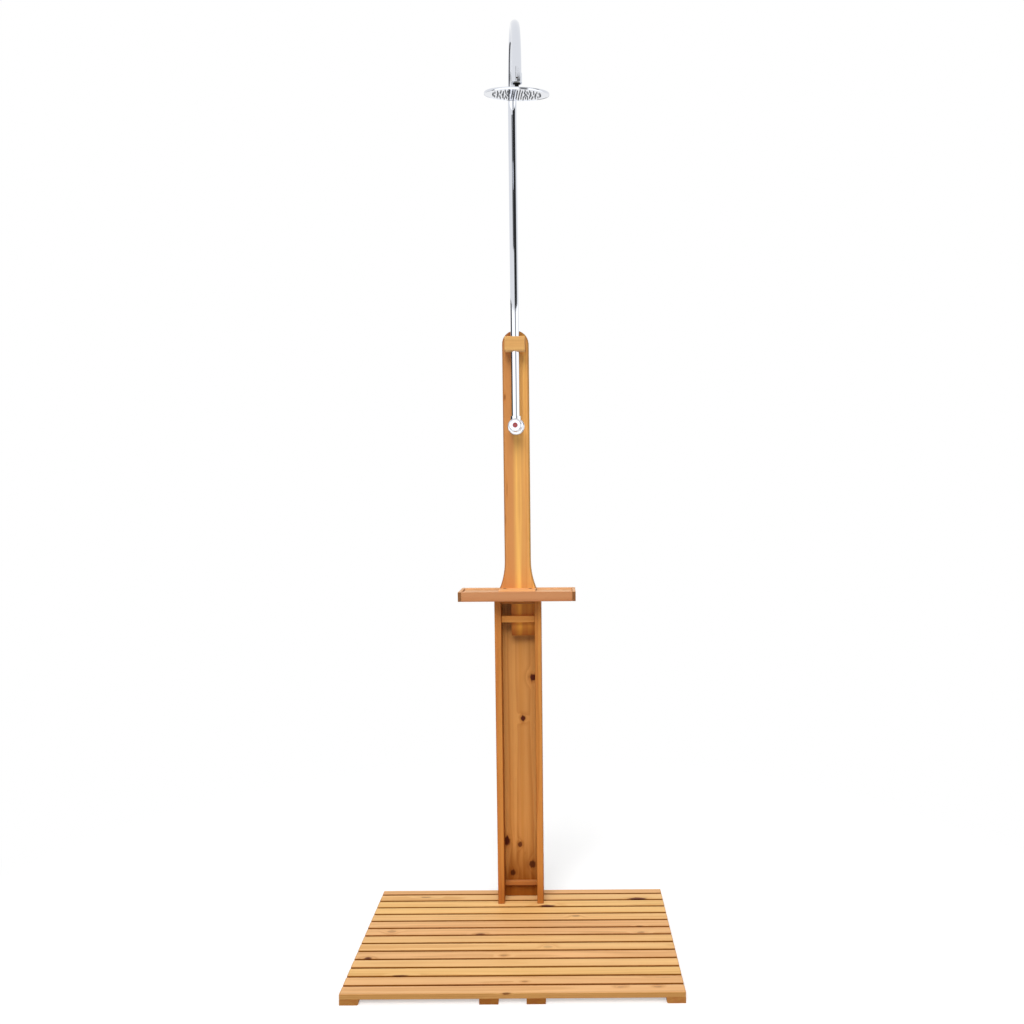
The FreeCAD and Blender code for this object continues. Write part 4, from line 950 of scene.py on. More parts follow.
@dataclass
class Surface:
    """Points and faces that are still to become a mesh."""

    points: np.ndarray
    faces: list[list[int]]

    @classmethod
    def turned(cls, profile: np.ndarray, sides: int) -> "Surface":
        """A closed profile turned about the z axis.

        Point (i, j) is (radius i times the cosine of turn j, radius i times its sine, height i). The profile
        runs anticlockwise seen with the radius to the right, so that the faces point outwards.

        Args:
            profile: (radius, height) rows, a closed loop whose points on the axis, if any, are next to each
                other across its end.
            sides: the number of stretches around.

        Returns:
            The surface, with each point on the axis merged into one.
        """
        turn = np.linspace(0, 2 * np.pi, sides, endpoint=False)
        radius, height = profile[:, :1], profile[:, 1:]
        x, y = radius * np.cos(turn), radius * np.sin(turn)
        points = np.stack((x, y, np.broadcast_to(height, x.shape)), axis=2).reshape(-1, 3)
        faces = grid_faces(len(profile), sides, True, True)
        return cls(points, faces[:, ::-1].tolist())

    @classmethod
    def pipe(cls, line: np.ndarray, radii: np.ndarray, sides: int) -> "Surface":
        """A closed loop of rings carried along a flat path in the y-z plane.

        The ring's directions are the x axis and the path's normal in that plane: point (i, j) is line i +
        radius i times (cosine of j times x + sine of j times normal i).

        Args:
            line: rows of (y, z, tangent y, tangent z); its last row joins its first.
            radii: each row's radius.
            sides: the number of stretches around.

        Returns:
            The surface.
        """
        turn = np.linspace(0, 2 * np.pi, sides, endpoint=False)
        cosine, sine = np.cos(turn)[None, :], np.sin(turn)[None, :]
        y, z, along_y, along_z = (line[:, k : k + 1] for k in range(4))
        reach = radii[:, None]
        points = np.stack(
            (reach * cosine, y - reach * sine * along_z, z + reach * sine * along_y), axis=2
        ).reshape(-1, 3)
        faces = grid_faces(len(line), sides, True, True)
        return cls(points, faces.tolist())

    def moved(self, place: Matrix) -> "Surface":
        """The surface carried by a matrix.

        Args:
            place: the matrix.

        Returns:
            A new surface.
        """
        matrix = np.array(place)
        return Surface(self.points @ matrix[:3, :3].T + matrix[:3, 3], self.faces)

    def joined(self, others: Iterable["Surface"]) -> "Surface":
        """This surface and others as one.

        Args:
            others: the other surfaces.

        Returns:
            A new surface.
        """
        points, faces = [self.points], list(self.faces)
        start = len(self.points)
        for other in others:
            points.append(other.points)
            faces.extend([number + start for number in face] for face in other.faces)
            start += len(other.points)
        return Surface(np.concatenate(points), faces)


class Shape(Enum):
    """How a piece's edges are shaded, as the angle past which an edge stays sharp."""

    ROUND = math.radians(60)
    CRISP = math.radians(28)


def make_piece(name: str, surface: Surface, shape: Shape = Shape.CRISP) -> bpy.types.Object:
    """Makes an object at the origin from a surface.

    Args:
        name: the piece's name.
        surface: its points and faces.
        shape: how its edges are shaded.

    Returns:
        The object.
    """
    mesh = bpy.data.meshes.new(name)
    mesh.from_pydata(surface.points.tolist(), [], surface.faces)
    shell = bmesh.new()
    shell.from_mesh(mesh)
    bmesh.ops.remove_doubles(shell, verts=shell.verts, dist=MERGE_DISTANCE)
    bmesh.ops.dissolve_degenerate(shell, edges=shell.edges, dist=LEAST_EDGE)
    bmesh.ops.recalc_face_normals(shell, faces=shell.faces)
    shell.to_mesh(mesh)
    shell.free()
    mesh.polygons.foreach_set("use_smooth", np.ones(len(mesh.polygons), bool))
    mesh.set_sharp_from_angle(angle=shape.value)
    piece = bpy.data.objects.new(name, mesh)
    bpy.context.scene.collection.objects.link(piece)
    return piece


def turned_piece(name: str, profile: np.ndarray, sides: int, place: Matrix) -> bpy.types.Object:
    """Makes an object from a profile that is turned about an axis.

    Args:
        name: the piece's name.
        profile: the closed profile, as (radius, height) rows.
        sides: the number of stretches around.
        place: carries the z axis to the piece's own axis.

    Returns:
        The object.
    """
    return make_piece(name, Surface.turned(profile, sides).moved(place))


def dress(piece: bpy.types.Object, material: bpy.types.Material) -> None:
    """Gives an object one material.

    Args:
        piece: the object.
        material: the material.
    """
    piece.data.materials.clear()
    piece.data.materials.append(material)


def stand_for(piece: bpy.types.Object, node: str) -> None:
    """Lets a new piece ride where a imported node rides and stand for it.

    Args:
        piece: the new piece.
        node: the node's name.
    """
    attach(piece, frame["nodes"][node]["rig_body"])
    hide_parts(node)
    LOG.info("%s stands for %s", piece.name, node)


def size_of(node: str) -> Vector:
    """A node's three sizes, in metres."""
    low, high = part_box(node)
    return high - low


def middle_of(node: str) -> Vector:
    """The middle of a node's box."""
    low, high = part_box(node)
    return (low + high) / 2


def joint(name: str) -> dict:
    """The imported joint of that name."""
    return next(item for item in frame["joints"] if item["name"] == name)


# Timber


SLAT_TOP = 7.5 * MM
SLAT_KNOT_DEPTH = 4 * MM


def slat_knot(
    along: float, across: float, long_radius: float, short_radius: float, strength: float
) -> KnotPlace:
    """A knot that shows on a slat's top and goes only a little way down.

    Args:
        along: its place to the right of the slat's middle.
        across: its place behind the slat's middle.
        long_radius: its radius along the slat.
        short_radius: its radius across the slat.
        strength: how dark it is, from 0 to 1.

    Returns:
        The knot.
    """
    return KnotPlace(along, across, long_radius, short_radius, strength, SLAT_TOP, SLAT_KNOT_DEPTH)


@dataclass
class FootTray:
    """The slats and the runners under them."""

    slat_count: int = 13
    knots: dict[int, tuple[KnotPlace, ...]] = field(
        default_factory=lambda: {
            1: (
                slat_knot(-0.016, -0.0185, 0.011, 0.0035, 0.75),
                slat_knot(0.283, 0.009, 0.012, 0.004, 0.35),
                slat_knot(0.381, 0.009, 0.011, 0.004, 0.4),
            ),
            2: (slat_knot(0.029, -0.008, 0.009, 0.004, 0.5), slat_knot(0.400, 0.010, 0.026, 0.002, 0.3)),
            3: (slat_knot(-0.306, -0.0195, 0.024, 0.004, 0.8),),
            5: (slat_knot(-0.412, -0.016, 0.011, 0.006, 1.0), slat_knot(-0.034, -0.006, 0.010, 0.005, 0.45)),
            6: (slat_knot(0.090, -0.004, 0.013, 0.008, 0.25),),
            8: (
                slat_knot(-0.375, 0.003, 0.013, 0.009, 0.35),
                slat_knot(-0.111, -0.017, 0.015, 0.005, 0.8),
                slat_knot(0.361, -0.013, 0.013, 0.005, 0.5),
            ),
            9: (slat_knot(0.361, -0.019, 0.010, 0.003, 0.5),),
            10: (slat_knot(0.170, 0.004, 0.013, 0.006, 0.5),),
            12: (slat_knot(0.083, -0.018, 0.026, 0.008, 1.0),),
            13: (slat_knot(-0.306, 0.004, 0.020, 0.004, 0.55), slat_knot(0.369, -0.017, 0.030, 0.009, 1.0)),
        }
    )
    tones: tuple[WoodTone, ...] = (DECK_TONE, DECK_PINK, DECK_YELLOW)
    tone_order: tuple[int, ...] = (1, 1, 2, 0, 1, 0, 0, 1, 1, 0, 2, 2, 0, 1)
    edge_darkening_reach: tuple[float, float] = (0.004, 0.0035)
    pith_across: tuple[float, float] = (-0.02, 0.02)
    pith_depth: tuple[float, float] = (-0.09, -0.035)
    ring_widths: tuple[float, float] = (0.0032, 0.0052)
    ring_contrast: float = 0.45
    draw_seed: int = 7
    slat_seed_step: float = 3.7
    runner_seed: float = 61.0
    runner_seed_step: float = 2.3
    runner_pith: tuple[float, float] = (0.012, -0.05)
    runner_ring_width: float = 0.0042
    runner_ends: dict[str, Colour] = field(
        default_factory=lambda: {
            "runner_left": OUTER_RUNNER_END,
            "runner_inner_left": INNER_RUNNER_END,
            "runner_inner_right": INNER_RUNNER_END,
            "runner_right": OUTER_RUNNER_END,
        }
    )

    def names(self) -> list[str]:
        """The slats' names from the front to the back."""
        return [f"slat_{number:02d}" for number in range(1, self.slat_count + 1)] + ["slat_rear"]

    def build(self) -> None:
        """Dresses each slat and runner in its own board's wood."""
        random = np.random.default_rng(self.draw_seed)
        names = self.names()
        for number, name in enumerate(names, start=1):
            pith = (0.0, float(random.uniform(*self.pith_across)), float(random.uniform(*self.pith_depth)))
            # The faces inside the gaps get painted shade, and the open front and back faces a lighter painted
            # shade.
            front = OPEN_SLAT_FACE_PAINTED_SHADE if name == names[0] else GAP_FACE_PAINTED_SHADE
            back = OPEN_SLAT_FACE_PAINTED_SHADE if name == names[-1] else GAP_FACE_PAINTED_SHADE
            finish = BoardFinish(
                name=f"wood_{name}",
                tone=self.tones[self.tone_order[number - 1]],
                grain=Grain.ALONG_X,
                centre=tuple(middle_of(name)),
                pith=pith,
                ring_width=float(random.uniform(*self.ring_widths)),
                seed=float(number) * self.slat_seed_step,
                knots=self.knots.get(number, ()),
                ring_contrast=self.ring_contrast,
                sides=(front, back),
                size=tuple(size_of(name)),
                # Painted shade in a band along the slat's edges.
                edge_darkening=GAP_EDGE_PAINTED_SHADE,
                edge_darkening_reach=self.edge_darkening_reach,
            )
            dress(frame["nodes"][name], finish.material())
        pith_across, pith_depth = self.runner_pith
        for number, (name, ends) in enumerate(self.runner_ends.items()):
            finish = BoardFinish(
                name=f"wood_{name}",
                tone=POST_TONE,
                grain=Grain.ALONG_Y,
                centre=tuple(middle_of(name)),
                pith=(0.0, pith_across * (-1) ** number, pith_depth),
                ring_width=self.runner_ring_width,
                seed=self.runner_seed + self.runner_seed_step * number,
                ends=ends,
            )
            dress(frame["nodes"][name], finish.material())
        LOG.info("foot tray dressed")


@dataclass(frozen=True)
class Board:
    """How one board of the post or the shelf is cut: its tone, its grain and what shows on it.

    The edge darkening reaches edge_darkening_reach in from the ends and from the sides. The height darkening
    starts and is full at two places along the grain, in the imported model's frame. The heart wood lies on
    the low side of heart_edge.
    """

    node: str
    tone: WoodTone
    grain: Grain
    pith: tuple[float, float]
    ring_width: float
    knots: tuple[KnotPlace, ...] = ()
    ring_contrast: float = 0.4
    heart_edge: float = -1.0
    sides: tuple[Colour, Colour] = (UNTOUCHED, UNTOUCHED)
    ends: Colour = END_GRAIN_AND_SIDE_SHADE
    edge_darkening: Colour = BOARD_EDGE_DARKENING
    edge_darkening_reach: tuple[float, float] = (0.003, 0.003)
    darkening_span: tuple[float, float] = (-9.0, -9.1)
    darkening_colour: Colour = UNTOUCHED


@dataclass
class PostAndShelf:
    """The open-fronted post, the shelf on it, the plank and the pipe's block."""

    boards: tuple[Board, ...] = (
        Board(
            "left_side_board", POST_TONE, Grain.ALONG_Z, (0.010, 0.060), 0.0042,
            # Darker towards the bottom.
            darkening_span=(0.20, 0.05), darkening_colour=SIDE_BOARD_FOOT_DARKENING,
        ),
        Board(
            "right_side_board", POST_TONE, Grain.ALONG_Z, (-0.020, 0.050), 0.0046,
            darkening_span=(0.20, 0.05), darkening_colour=SIDE_BOARD_FOOT_DARKENING,
        ),
        Board(
            "back_board",
            PANEL_TONE,
            Grain.ALONG_Z,
            (0.012, 0.075),
            0.0050,
            knots=(
                KnotPlace(0.229, 0.044, 0.0125, 0.0135),
                KnotPlace(0.098, 0.0107, 0.009, 0.008),
                KnotPlace(-0.300, -0.046, 0.018, 0.010),
                KnotPlace(-0.3125, -0.003, 0.009, 0.008, 0.85),
                KnotPlace(-0.378, 0.036, 0.0125, 0.012, 0.85),
                KnotPlace(-0.405, -0.027, 0.0105, 0.0095, 0.85),
            ),
            ring_contrast=0.3,
            # Painted shade towards the back board's foot.
            darkening_span=(0.30, 0.02),
            darkening_colour=FOOT_PAINTED_SHADE,
        ),
        # Painted shade: a darker copy of the crosspiece wood.
        Board("lower_crosspiece", SHADED_FOOT_CROSS_TONE, Grain.ALONG_X, (0.030, -0.040), 0.0036),
        Board("upper_crosspiece", CROSS_TONE, Grain.ALONG_X, (0.020, -0.050), 0.0036),
        Board("shelf_bearer", PANEL_TONE, Grain.ALONG_X, (0.050, 0.010), 0.0040),
        Board(
            "shelf_front_rail", SHELF_TONE, Grain.ALONG_X, (0.060, 0.004), 0.0044,
            # Painted shade, a little pinker, on the rail's front and back faces.
            sides=(SHELF_RAIL_FACE_PAINTED_SHADE, SHELF_RAIL_FACE_PAINTED_SHADE),
        ),
        Board("shelf_back_rail", SHELF_TONE, Grain.ALONG_X, (-0.050, 0.010), 0.0044, edge_darkening=UNTOUCHED),
        Board("shelf_left_rail", SHELF_TONE, Grain.ALONG_Y, (0.050, 0.010), 0.0040, ends=DARK_END),
        Board("shelf_right_rail", SHELF_TONE, Grain.ALONG_Y, (-0.050, 0.010), 0.0040, ends=DARK_END),
        Board("shelf_left_floor", SHELF_TONE, Grain.ALONG_X, (0.020, -0.060), 0.0046),
        Board("shelf_right_floor", SHELF_TONE, Grain.ALONG_X, (-0.010, -0.070), 0.0048),
        Board("shelf_centre_board", CENTRE_TONE, Grain.ALONG_X, (0.010, -0.060), 0.0044, edge_darkening=UNTOUCHED),
        Board(
            "upper_plank",
            PLANK_TONE,
            Grain.ALONG_Z,
            (-0.008, 0.070),
            0.0046,
            knots=(
                KnotPlace(0.2655, -0.033, 0.010, 0.003, 0.6),
                KnotPlace(-0.014, -0.030, 0.026, 0.0018, 0.4),
                KnotPlace(-0.106, -0.035, 0.018, 0.0018, 0.35),
            ),
            ring_contrast=0.32,
            heart_edge=-0.004,
            # Painted shade on the plank's left and right faces.
            sides=(END_GRAIN_AND_SIDE_SHADE, PLANK_SIDE_PAINTED_SHADE),
            # Painted shadow round the pipe block, in a band near the plank's ends.
            edge_darkening=ARCH_PAINTED_SHADOW,
            edge_darkening_reach=(0.045, 0.002),
            # Painted shade on the plank's tongue inside the post, under the shelf.
            darkening_span=(1.000, 0.990),
            darkening_colour=TONGUE_SHADE,
        ),
        Board("pipe_block", BLOCK_TONE, Grain.ALONG_X, (0.040, 0.030), 0.0040, ring_contrast=0.25),
    )
    stain_radii: tuple[float, float] = (1.5, 2.6)
    stain_strength: float = 0.9
    first_seed: float = 101.0
    seed_step: float = 4.1

    def screw_stains(self) -> tuple[KnotPlace, ...]:
        """The dark stains that wet steel leaves round the two screws in the shelf's centre board.

        Returns:
            A stain for each screw, with its radii in screw head radii along and across the board.
        """
        low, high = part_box("shelf_screws")
        head = (high.y - low.y) / 2
        reach = (high.x - low.x) / 2 - head
        across = (low.y + high.y) / 2 - middle_of("shelf_centre_board").y
        radii = tuple(factor * head for factor in self.stain_radii)
        return tuple(KnotPlace(side * reach, across, *radii, self.stain_strength) for side in (-1, 1))

    def build(self) -> None:
        """Dresses each board in its own wood."""
        for number, board in enumerate(self.boards):
            stains = self.screw_stains() if board.node == "shelf_centre_board" else ()
            finish = BoardFinish(
                name=f"wood_{board.node}",
                tone=board.tone,
                grain=board.grain,
                centre=tuple(middle_of(board.node)),
                pith=(0.0, *board.pith),
                ring_width=board.ring_width,
                seed=self.first_seed + self.seed_step * number,
                knots=board.knots + stains,
                ring_contrast=board.ring_contrast,
                heart_edge=board.heart_edge,
                sides=board.sides,
                ends=board.ends,
                size=tuple(size_of(board.node)),
                edge_darkening=board.edge_darkening,
                edge_darkening_reach=board.edge_darkening_reach,
                darkening_span=board.darkening_span,
                darkening_colour=board.darkening_colour,
            )
            dress(frame["nodes"][board.node], finish.material())
        LOG.info("post, shelf and plank dressed")


# Pipework


@dataclass
class Gooseneck:
    """The riser with its half-circle bend, and the supply pipe.

    The riser's leg ends socket_depth above the collar's lower edge, and its bead lies bead_drop under the
    top of the block. End_band is the stretch at each pipe end that takes the shading of the eased edge.
    """

    chrome: bpy.types.Material
    sides: int = 72
    bend_steps: int = 96
    straight_steps: int = 12
    wall: float = 1.5 * MM
    bead_radius: float = 15.5 * MM
    bead_length: float = 3 * MM
    bead_drop: float = 4.3 * MM
    socket_depth: float = 17.3 * MM
    edge: float = 0.3 * MM
    end_band: float = 2 * MM

    def arm_frame(self) -> Matrix:
        """The arm's own frame: on the floor under the riser, with the arch over its negative y axis.

        Returns:
            The frame's matrix.
        """
        base = Vector(joint("arm_swivel")["pos_m"])
        tip = Vector(joint("head_pitch")["pos_m"])
        turn = math.atan2(tip.x - base.x, base.y - tip.y)
        return Matrix.Translation((base.x, base.y, 0)) @ Matrix.Rotation(turn, 4, "Z")

    def reach(self) -> float:
        """The distance from the riser's axis to the spout's.

        Returns:
            The distance, in metres.
        """
        base = Vector(joint("arm_swivel")["pos_m"])
        tip = Vector(joint("head_pitch")["pos_m"])
        return (tip - base).to_2d().length

    def build(self) -> None:
        """Makes the riser and the supply pipe."""
        low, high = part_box("riser_tube")
        radius = size_of("supply_pipe").x / 2
        bend = self.reach() / 2
        bend_base = high.z - radius - bend
        leg_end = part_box("arm_collar")[0].z + self.socket_depth
        angle = np.linspace(0, np.pi, self.bend_steps + 1)
        up = np.linspace(low.z, bend_base, self.straight_steps)[:-1]
        down = np.linspace(bend_base, leg_end, self.straight_steps)[1:]
        y = np.concatenate((np.zeros_like(up), bend * np.cos(angle) - bend, np.full_like(down, -2 * bend)))
        z = np.concatenate((up, bend_base + bend * np.sin(angle), down))
        along_y = np.concatenate((np.zeros_like(up), -np.sin(angle), np.zeros_like(down)))
        along_z = np.concatenate((np.ones_like(up), np.cos(angle), -np.ones_like(down)))
        line = np.column_stack((y, z, along_y, along_z))
        there_and_back = np.concatenate((line, line[::-1]))
        outer = np.full(len(line), radius)
        radii = np.concatenate((outer, outer - self.wall))
        tube = Surface.pipe(there_and_back, radii, self.sides)
        bead = self._bead(radius)
        riser = make_piece("chrome_riser", tube.joined([bead]).moved(self.arm_frame()), Shape.ROUND)
        dress(riser, self.chrome)
        stand_for(riser, "riser_tube")
        self._supply_pipe(radius)

    def _bead(self, radius: float) -> Surface:
        """The swelling near the riser's foot that the block's lip holds down.

        Args:
            radius: the tube's outer radius.

        Returns:
            A ring just inside the tube's wall and out to the bead's radius.
        """
        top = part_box("pipe_block")[1].z - self.bead_drop
        base = top - self.bead_length
        inner = radius - 0.5 * self.wall
        corners = ((inner, base), (self.bead_radius, base), (self.bead_radius, top), (inner, top))
        return Surface.turned(eased(corners, self.edge), self.sides)

    def _supply_pipe(self, radius: float) -> None:
        """The straight pipe between the valve and the block.

        Args:
            radius: its outer radius.
        """
        low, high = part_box("supply_pipe")
        inner = radius - self.wall
        outside = (low.z, low.z + self.end_band, high.z - self.end_band, high.z)
        corners = ((inner, low.z), *((radius, height) for height in outside), (inner, high.z))
        centre = middle_of("supply_pipe")
        place = Matrix.Translation((centre.x, centre.y, 0))
        pipe = turned_piece("chrome_supply_pipe", eased(corners, self.edge), self.sides, place)
        dress(pipe, self.chrome)
        stand_for(pipe, "supply_pipe")


@dataclass
class RainHead:
    """The ball, the domed shell and the rubber nozzles.

    Heights are from the ball's centre. The rim's lower edge lies drop below it, the rim's upper edge
    rim_height above that, and the ball's stem is held in a boss under the crown.
    """

    chrome: bpy.types.Material
    rubber: bpy.types.Material
    ball: bpy.types.Material
    sides: int = 144
    rim_radius: float = 85 * MM
    rim_height: float = 5.5 * MM
    rim_roll: float = 2.2 * MM
    rim_lift: float = 0.9 * MM
    foot_roll: float = 0.5 * MM
    drop: float = 32 * MM
    crown_radius: float = 11.5 * MM
    crown_top: float = -18 * MM
    crown_roll: float = 1.5 * MM
    wall: float = 1.5 * MM
    boss_radius: float = 10 * MM
    boss_depth: float = 4 * MM
    ball_radius: float = 9.5 * MM
    ball_sides: int = 64
    stem_radius: float = 5.5 * MM
    stem_bore: float = 2.5 * MM
    stem_gap: float = 0.1 * MM
    spanner_radius: float = 9 * MM
    spanner_height: float = 2.5 * MM
    plate_top: float = -29.5 * MM
    plate_base: float = -31.5 * MM
    rings: int = 5
    ring_step: float = 12.4 * MM
    mat_thickness: float = 1 * MM
    mat_edge: float = 0.3 * MM
    mat_sides: int = 96
    nozzle_length: float = 3 * MM
    nozzle_bore: float = 0.5 * MM
    nozzle_root: float = 1.8 * MM
    nozzle_shoulder: float = 1.32 * MM
    nozzle_overlap: float = 0.2 * MM
    shoulder_drop: float = 0.9 * MM
    nozzle_lip: tuple[float, float] = (0.75 * MM, 0.35 * MM)
    nozzle_sides: int = 14

    def head_frame(self) -> Matrix:
        """The head's own frame: at the ball's centre, with z along the axis that the head spins about.

        Returns:
            The frame's matrix.
        """
        spin = joint("head_spin")
        up = Vector(spin["axis"]).normalized()
        side = Vector(joint("head_pitch")["axis"]).normalized()
        back = up.cross(side)
        turn = Matrix((side, back, up)).transposed().to_4x4()
        return Matrix.Translation(spin["pos_m"]) @ turn

    def build(self) -> None:
        """Makes the shell, the ball with its stem, and the nozzles."""
        place = self.head_frame()
        self._shell(place)
        self._ball(place)
        self._nozzles(place)

    def _shell(self, place: Matrix) -> None:
        """The dome: a long slope from the crown to a rolled rim, hollow underneath.

        Args:
            place: the head's frame.
        """
        rim_top = -self.drop + self.rim_height
        inner = self.rim_radius - self.wall
        ceiling = self.crown_top - self.wall
        boss_base = ceiling - self.boss_depth
        hole = self.stem_radius + self.stem_gap
        crown_centre = (self.crown_radius - self.crown_roll, self.crown_top - self.crown_roll)
        rim_centre = (self.rim_radius - self.rim_roll, rim_top - self.rim_roll + self.rim_lift)
        foot_centre = (self.rim_radius - self.foot_roll, -self.drop + self.foot_roll)
        slope_start = arc(crown_centre, self.crown_roll, 90, 84, 3)
        rim = arc(rim_centre, self.rim_roll, 80, 0, 10)
        foot = arc(foot_centre, self.foot_roll, 0, -90, 4)
        inside = np.array(
            (
                (inner, -self.drop),
                (inner, rim_top - self.wall),
                (self.crown_radius, ceiling),
                (self.boss_radius, ceiling),
                (self.boss_radius, boss_base),
                (hole, boss_base),
                (hole, self.crown_top),
            )
        )
        profile = np.concatenate((slope_start, rim, foot, inside))
        shell = turned_piece("chrome_head", profile, self.sides, place)
        dress(shell, self.chrome)
        stand_for(shell, "head_shell")

    def _ball(self, place: Matrix) -> None:
        """The black ball on its stem, with the flange that a spanner turns.

        Args:
            place: the head's frame.
        """
        flange_top = self.crown_top + self.spanner_height
        foot = self.crown_top - self.wall - self.boss_depth
        neck = math.degrees(math.asin(self.stem_radius / self.ball_radius))
        start = 90 - math.degrees(math.asin(self.stem_bore / self.ball_radius))
        sphere = arc((0, 0), self.ball_radius, start, neck - 90, 40)
        lower = np.array(
            (
                (self.stem_radius, flange_top),
                (self.spanner_radius, flange_top),
                (self.spanner_radius, self.crown_top),
                (self.stem_radius, self.crown_top),
                (self.stem_radius, foot),
                (self.stem_bore, foot),
            )
        )
        ball = turned_piece("black_ball", np.concatenate((sphere, lower)), self.ball_sides, place)
        dress(ball, self.ball)
        stand_for(ball, "swivel_ball")

    def _nozzles(self, place: Matrix) -> None:
        """The rubber mat above the plate with its rings of tapered nozzles.

        Ring n has 6 n nozzles, evenly turned, at n steps from the middle.

        Args:
            place: the head's frame.
        """
        mat_radius = (self.rings + 0.5) * self.ring_step
        mat_top = self.plate_top + self.mat_thickness
        corners = ((0, self.plate_top), (mat_radius, self.plate_top), (mat_radius, mat_top), (0, mat_top))
        mat = Surface.turned(eased(corners, self.mat_edge), self.mat_sides)
        tip = self.plate_base - self.nozzle_length
        head = self.plate_top + self.nozzle_overlap
        lip_middle, lip_radius = self.nozzle_lip
        shoulder = (self.nozzle_shoulder, self.plate_base - self.shoulder_drop)
        root = (self.nozzle_root, self.plate_base - self.nozzle_overlap)
        profile = np.concatenate(
            (
                np.array(((self.nozzle_root, head), (self.nozzle_bore, head), (self.nozzle_bore, tip))),
                arc((lip_middle, tip + lip_radius), lip_radius, -90, 0, 3),
                np.array((shoulder, root)),
            )
        )
        nozzle = Surface.turned(profile[::-1], self.nozzle_sides)
        count = np.arange(self.rings + 1)
        ring = np.repeat(count, np.maximum(6 * count, 1))
        step = np.concatenate([np.arange(max(6 * number, 1)) for number in count])
        angle = 2 * np.pi * step / np.maximum(6 * ring, 1)
        spots = np.column_stack((np.cos(angle), np.sin(angle))) * (ring * self.ring_step)[:, None]
        copies = [nozzle.moved(Matrix.Translation((x, y, 0))) for x, y in spots]
        piece = make_piece("rubber_nozzles", mat.joined(copies).moved(place))
        dress(piece, self.rubber)
        stand_for(piece, "nozzle_mat")


@dataclass
class Valve:
    """The wall flange, the knob and its red disc, in a frame whose z axis points to the front.

    The disc sits in a recess in the knob's front, and a skirt hides the hollow at the knob's back.
    """

    chrome: bpy.types.Material
    red: bpy.types.Material
    sides: int = 96
    flange_hole: float = 12.1 * MM
    back_round: float = 0.8 * MM
    front_round: float = 4.5 * MM
    recess_depth: float = 1.5 * MM
    recess_radius: float = 7.6 * MM
    skirt_wall: float = 3.5 * MM
    skirt_depth: float = 6.5 * MM
    stem_hole: float = 4.05 * MM
    disc_crown: float = 0.5 * MM

    def valve_frame(self) -> Matrix:
        """The valve's own frame: on the plank's face, z to the front and y up.

        Returns:
            The frame's matrix.
        """
        return Matrix.Translation(joint("valve_turn")["pos_m"]) @ Matrix.Rotation(math.pi / 2, 4, "X")

    def build(self) -> None:
        """Makes the flange, the knob and the disc."""
        place = self.valve_frame()
        self._flange(place)
        self._knob(place)
        self._disc(place)

    def _flange(self, place: Matrix) -> None:
        """A shallow dished rose against the plank.

        Args:
            place: the valve's frame.
        """
        radius = size_of("valve_flange").x / 2
        thick = size_of("valve_flange").y
        dish = arc((radius - thick, 0), thick, 0, 88, 10)
        corners = np.array(((self.flange_hole, thick), (self.flange_hole, 0)))
        flange = turned_piece("chrome_flange", np.concatenate((dish, corners)), self.sides, place)
        dress(flange, self.chrome)
        stand_for(flange, "valve_flange")

    def _knob(self, place: Matrix) -> None:
        """The knob: a drum with a rounded front edge, a recess for the disc and a hollow back.

        Args:
            place: the valve's frame.
        """
        radius = size_of("valve_knob").x / 2
        length = size_of("valve_knob").y
        back = joint("valve_turn")["pos_m"][1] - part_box("valve_knob")[1].y
        front = back + length
        recess = front - self.recess_depth
        skirt = radius - self.skirt_wall
        ceiling = back + self.skirt_depth
        outside = np.concatenate(
            (
                arc((radius - self.back_round, back + self.back_round), self.back_round, -90, 0, 4),
                arc((radius - self.front_round, front - self.front_round), self.front_round, 0, 90, 12),
            )
        )
        inside = np.array(
            (
                (self.recess_radius, front),
                (self.recess_radius, recess),
                (self.stem_hole, recess),
                (self.stem_hole, ceiling),
                (skirt, ceiling),
                (skirt, back),
            )
        )
        knob = turned_piece("chrome_knob", np.concatenate((outside, inside)), self.sides, place)
        dress(knob, self.chrome)
        stand_for(knob, "valve_knob")

    def _disc(self, place: Matrix) -> None:
        """The dark red disc, slightly domed.

        Args:
            place: the valve's frame.
        """
        front = joint("valve_turn")["pos_m"][1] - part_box("knob_index")[0].y
        seat = front - size_of("knob_index").y
        radius = size_of("knob_index").x / 2
        dome_radius = (radius**2 + self.disc_crown**2) / (2 * self.disc_crown)
        edge = math.degrees(math.asin(radius / dome_radius))
        dome = arc((0, front - dome_radius), dome_radius, 90 - edge, 90, 12)
        corners = np.array(((0, seat), (radius, seat)))
        disc = turned_piece("red_disc", np.concatenate((corners, dome)), self.sides, place)
        dress(disc, self.red)
        stand_for(disc, "knob_index")


@dataclass
class Fittings:
    """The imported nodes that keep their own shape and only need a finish."""

    finishes: dict[SolidFinish, tuple[str, ...]] = field(
        default_factory=lambda: {
            CHROME: ("arm_collar", "valve_body", "nozzle_plate"),
            BRASS: ("valve_cartridge", "valve_stem", "tail_nut", "swivel_socket"),
            SCREW_STEEL: (
                "slat_screws",
                "post_foot_screws",
                "frame_screws",
                "shelf_screws",
                "block_screws",
                "knob_screw",
                "collar_lock_screw",
            ),
            SEAT_ACETAL: ("ball_lower_seat", "ball_upper_seat"),
            SEAL_RUBBER: ("tail_washer", "pipe_seals", "head_seal"),
        }
    )

    def build(self, materials: dict[str, bpy.types.Material]) -> None:
        """Dresses each node.

        Args:
            materials: the materials already made, by finish name; the missing ones are added.
        """
        for finish, nodes in self.finishes.items():
            if finish.name not in materials:
                materials[finish.name] = finish.material()
            for name in nodes:
                dress(frame["nodes"][name], materials[finish.name])
            LOG.info("%s on %s", finish.name, ", ".join(nodes))


# The studio


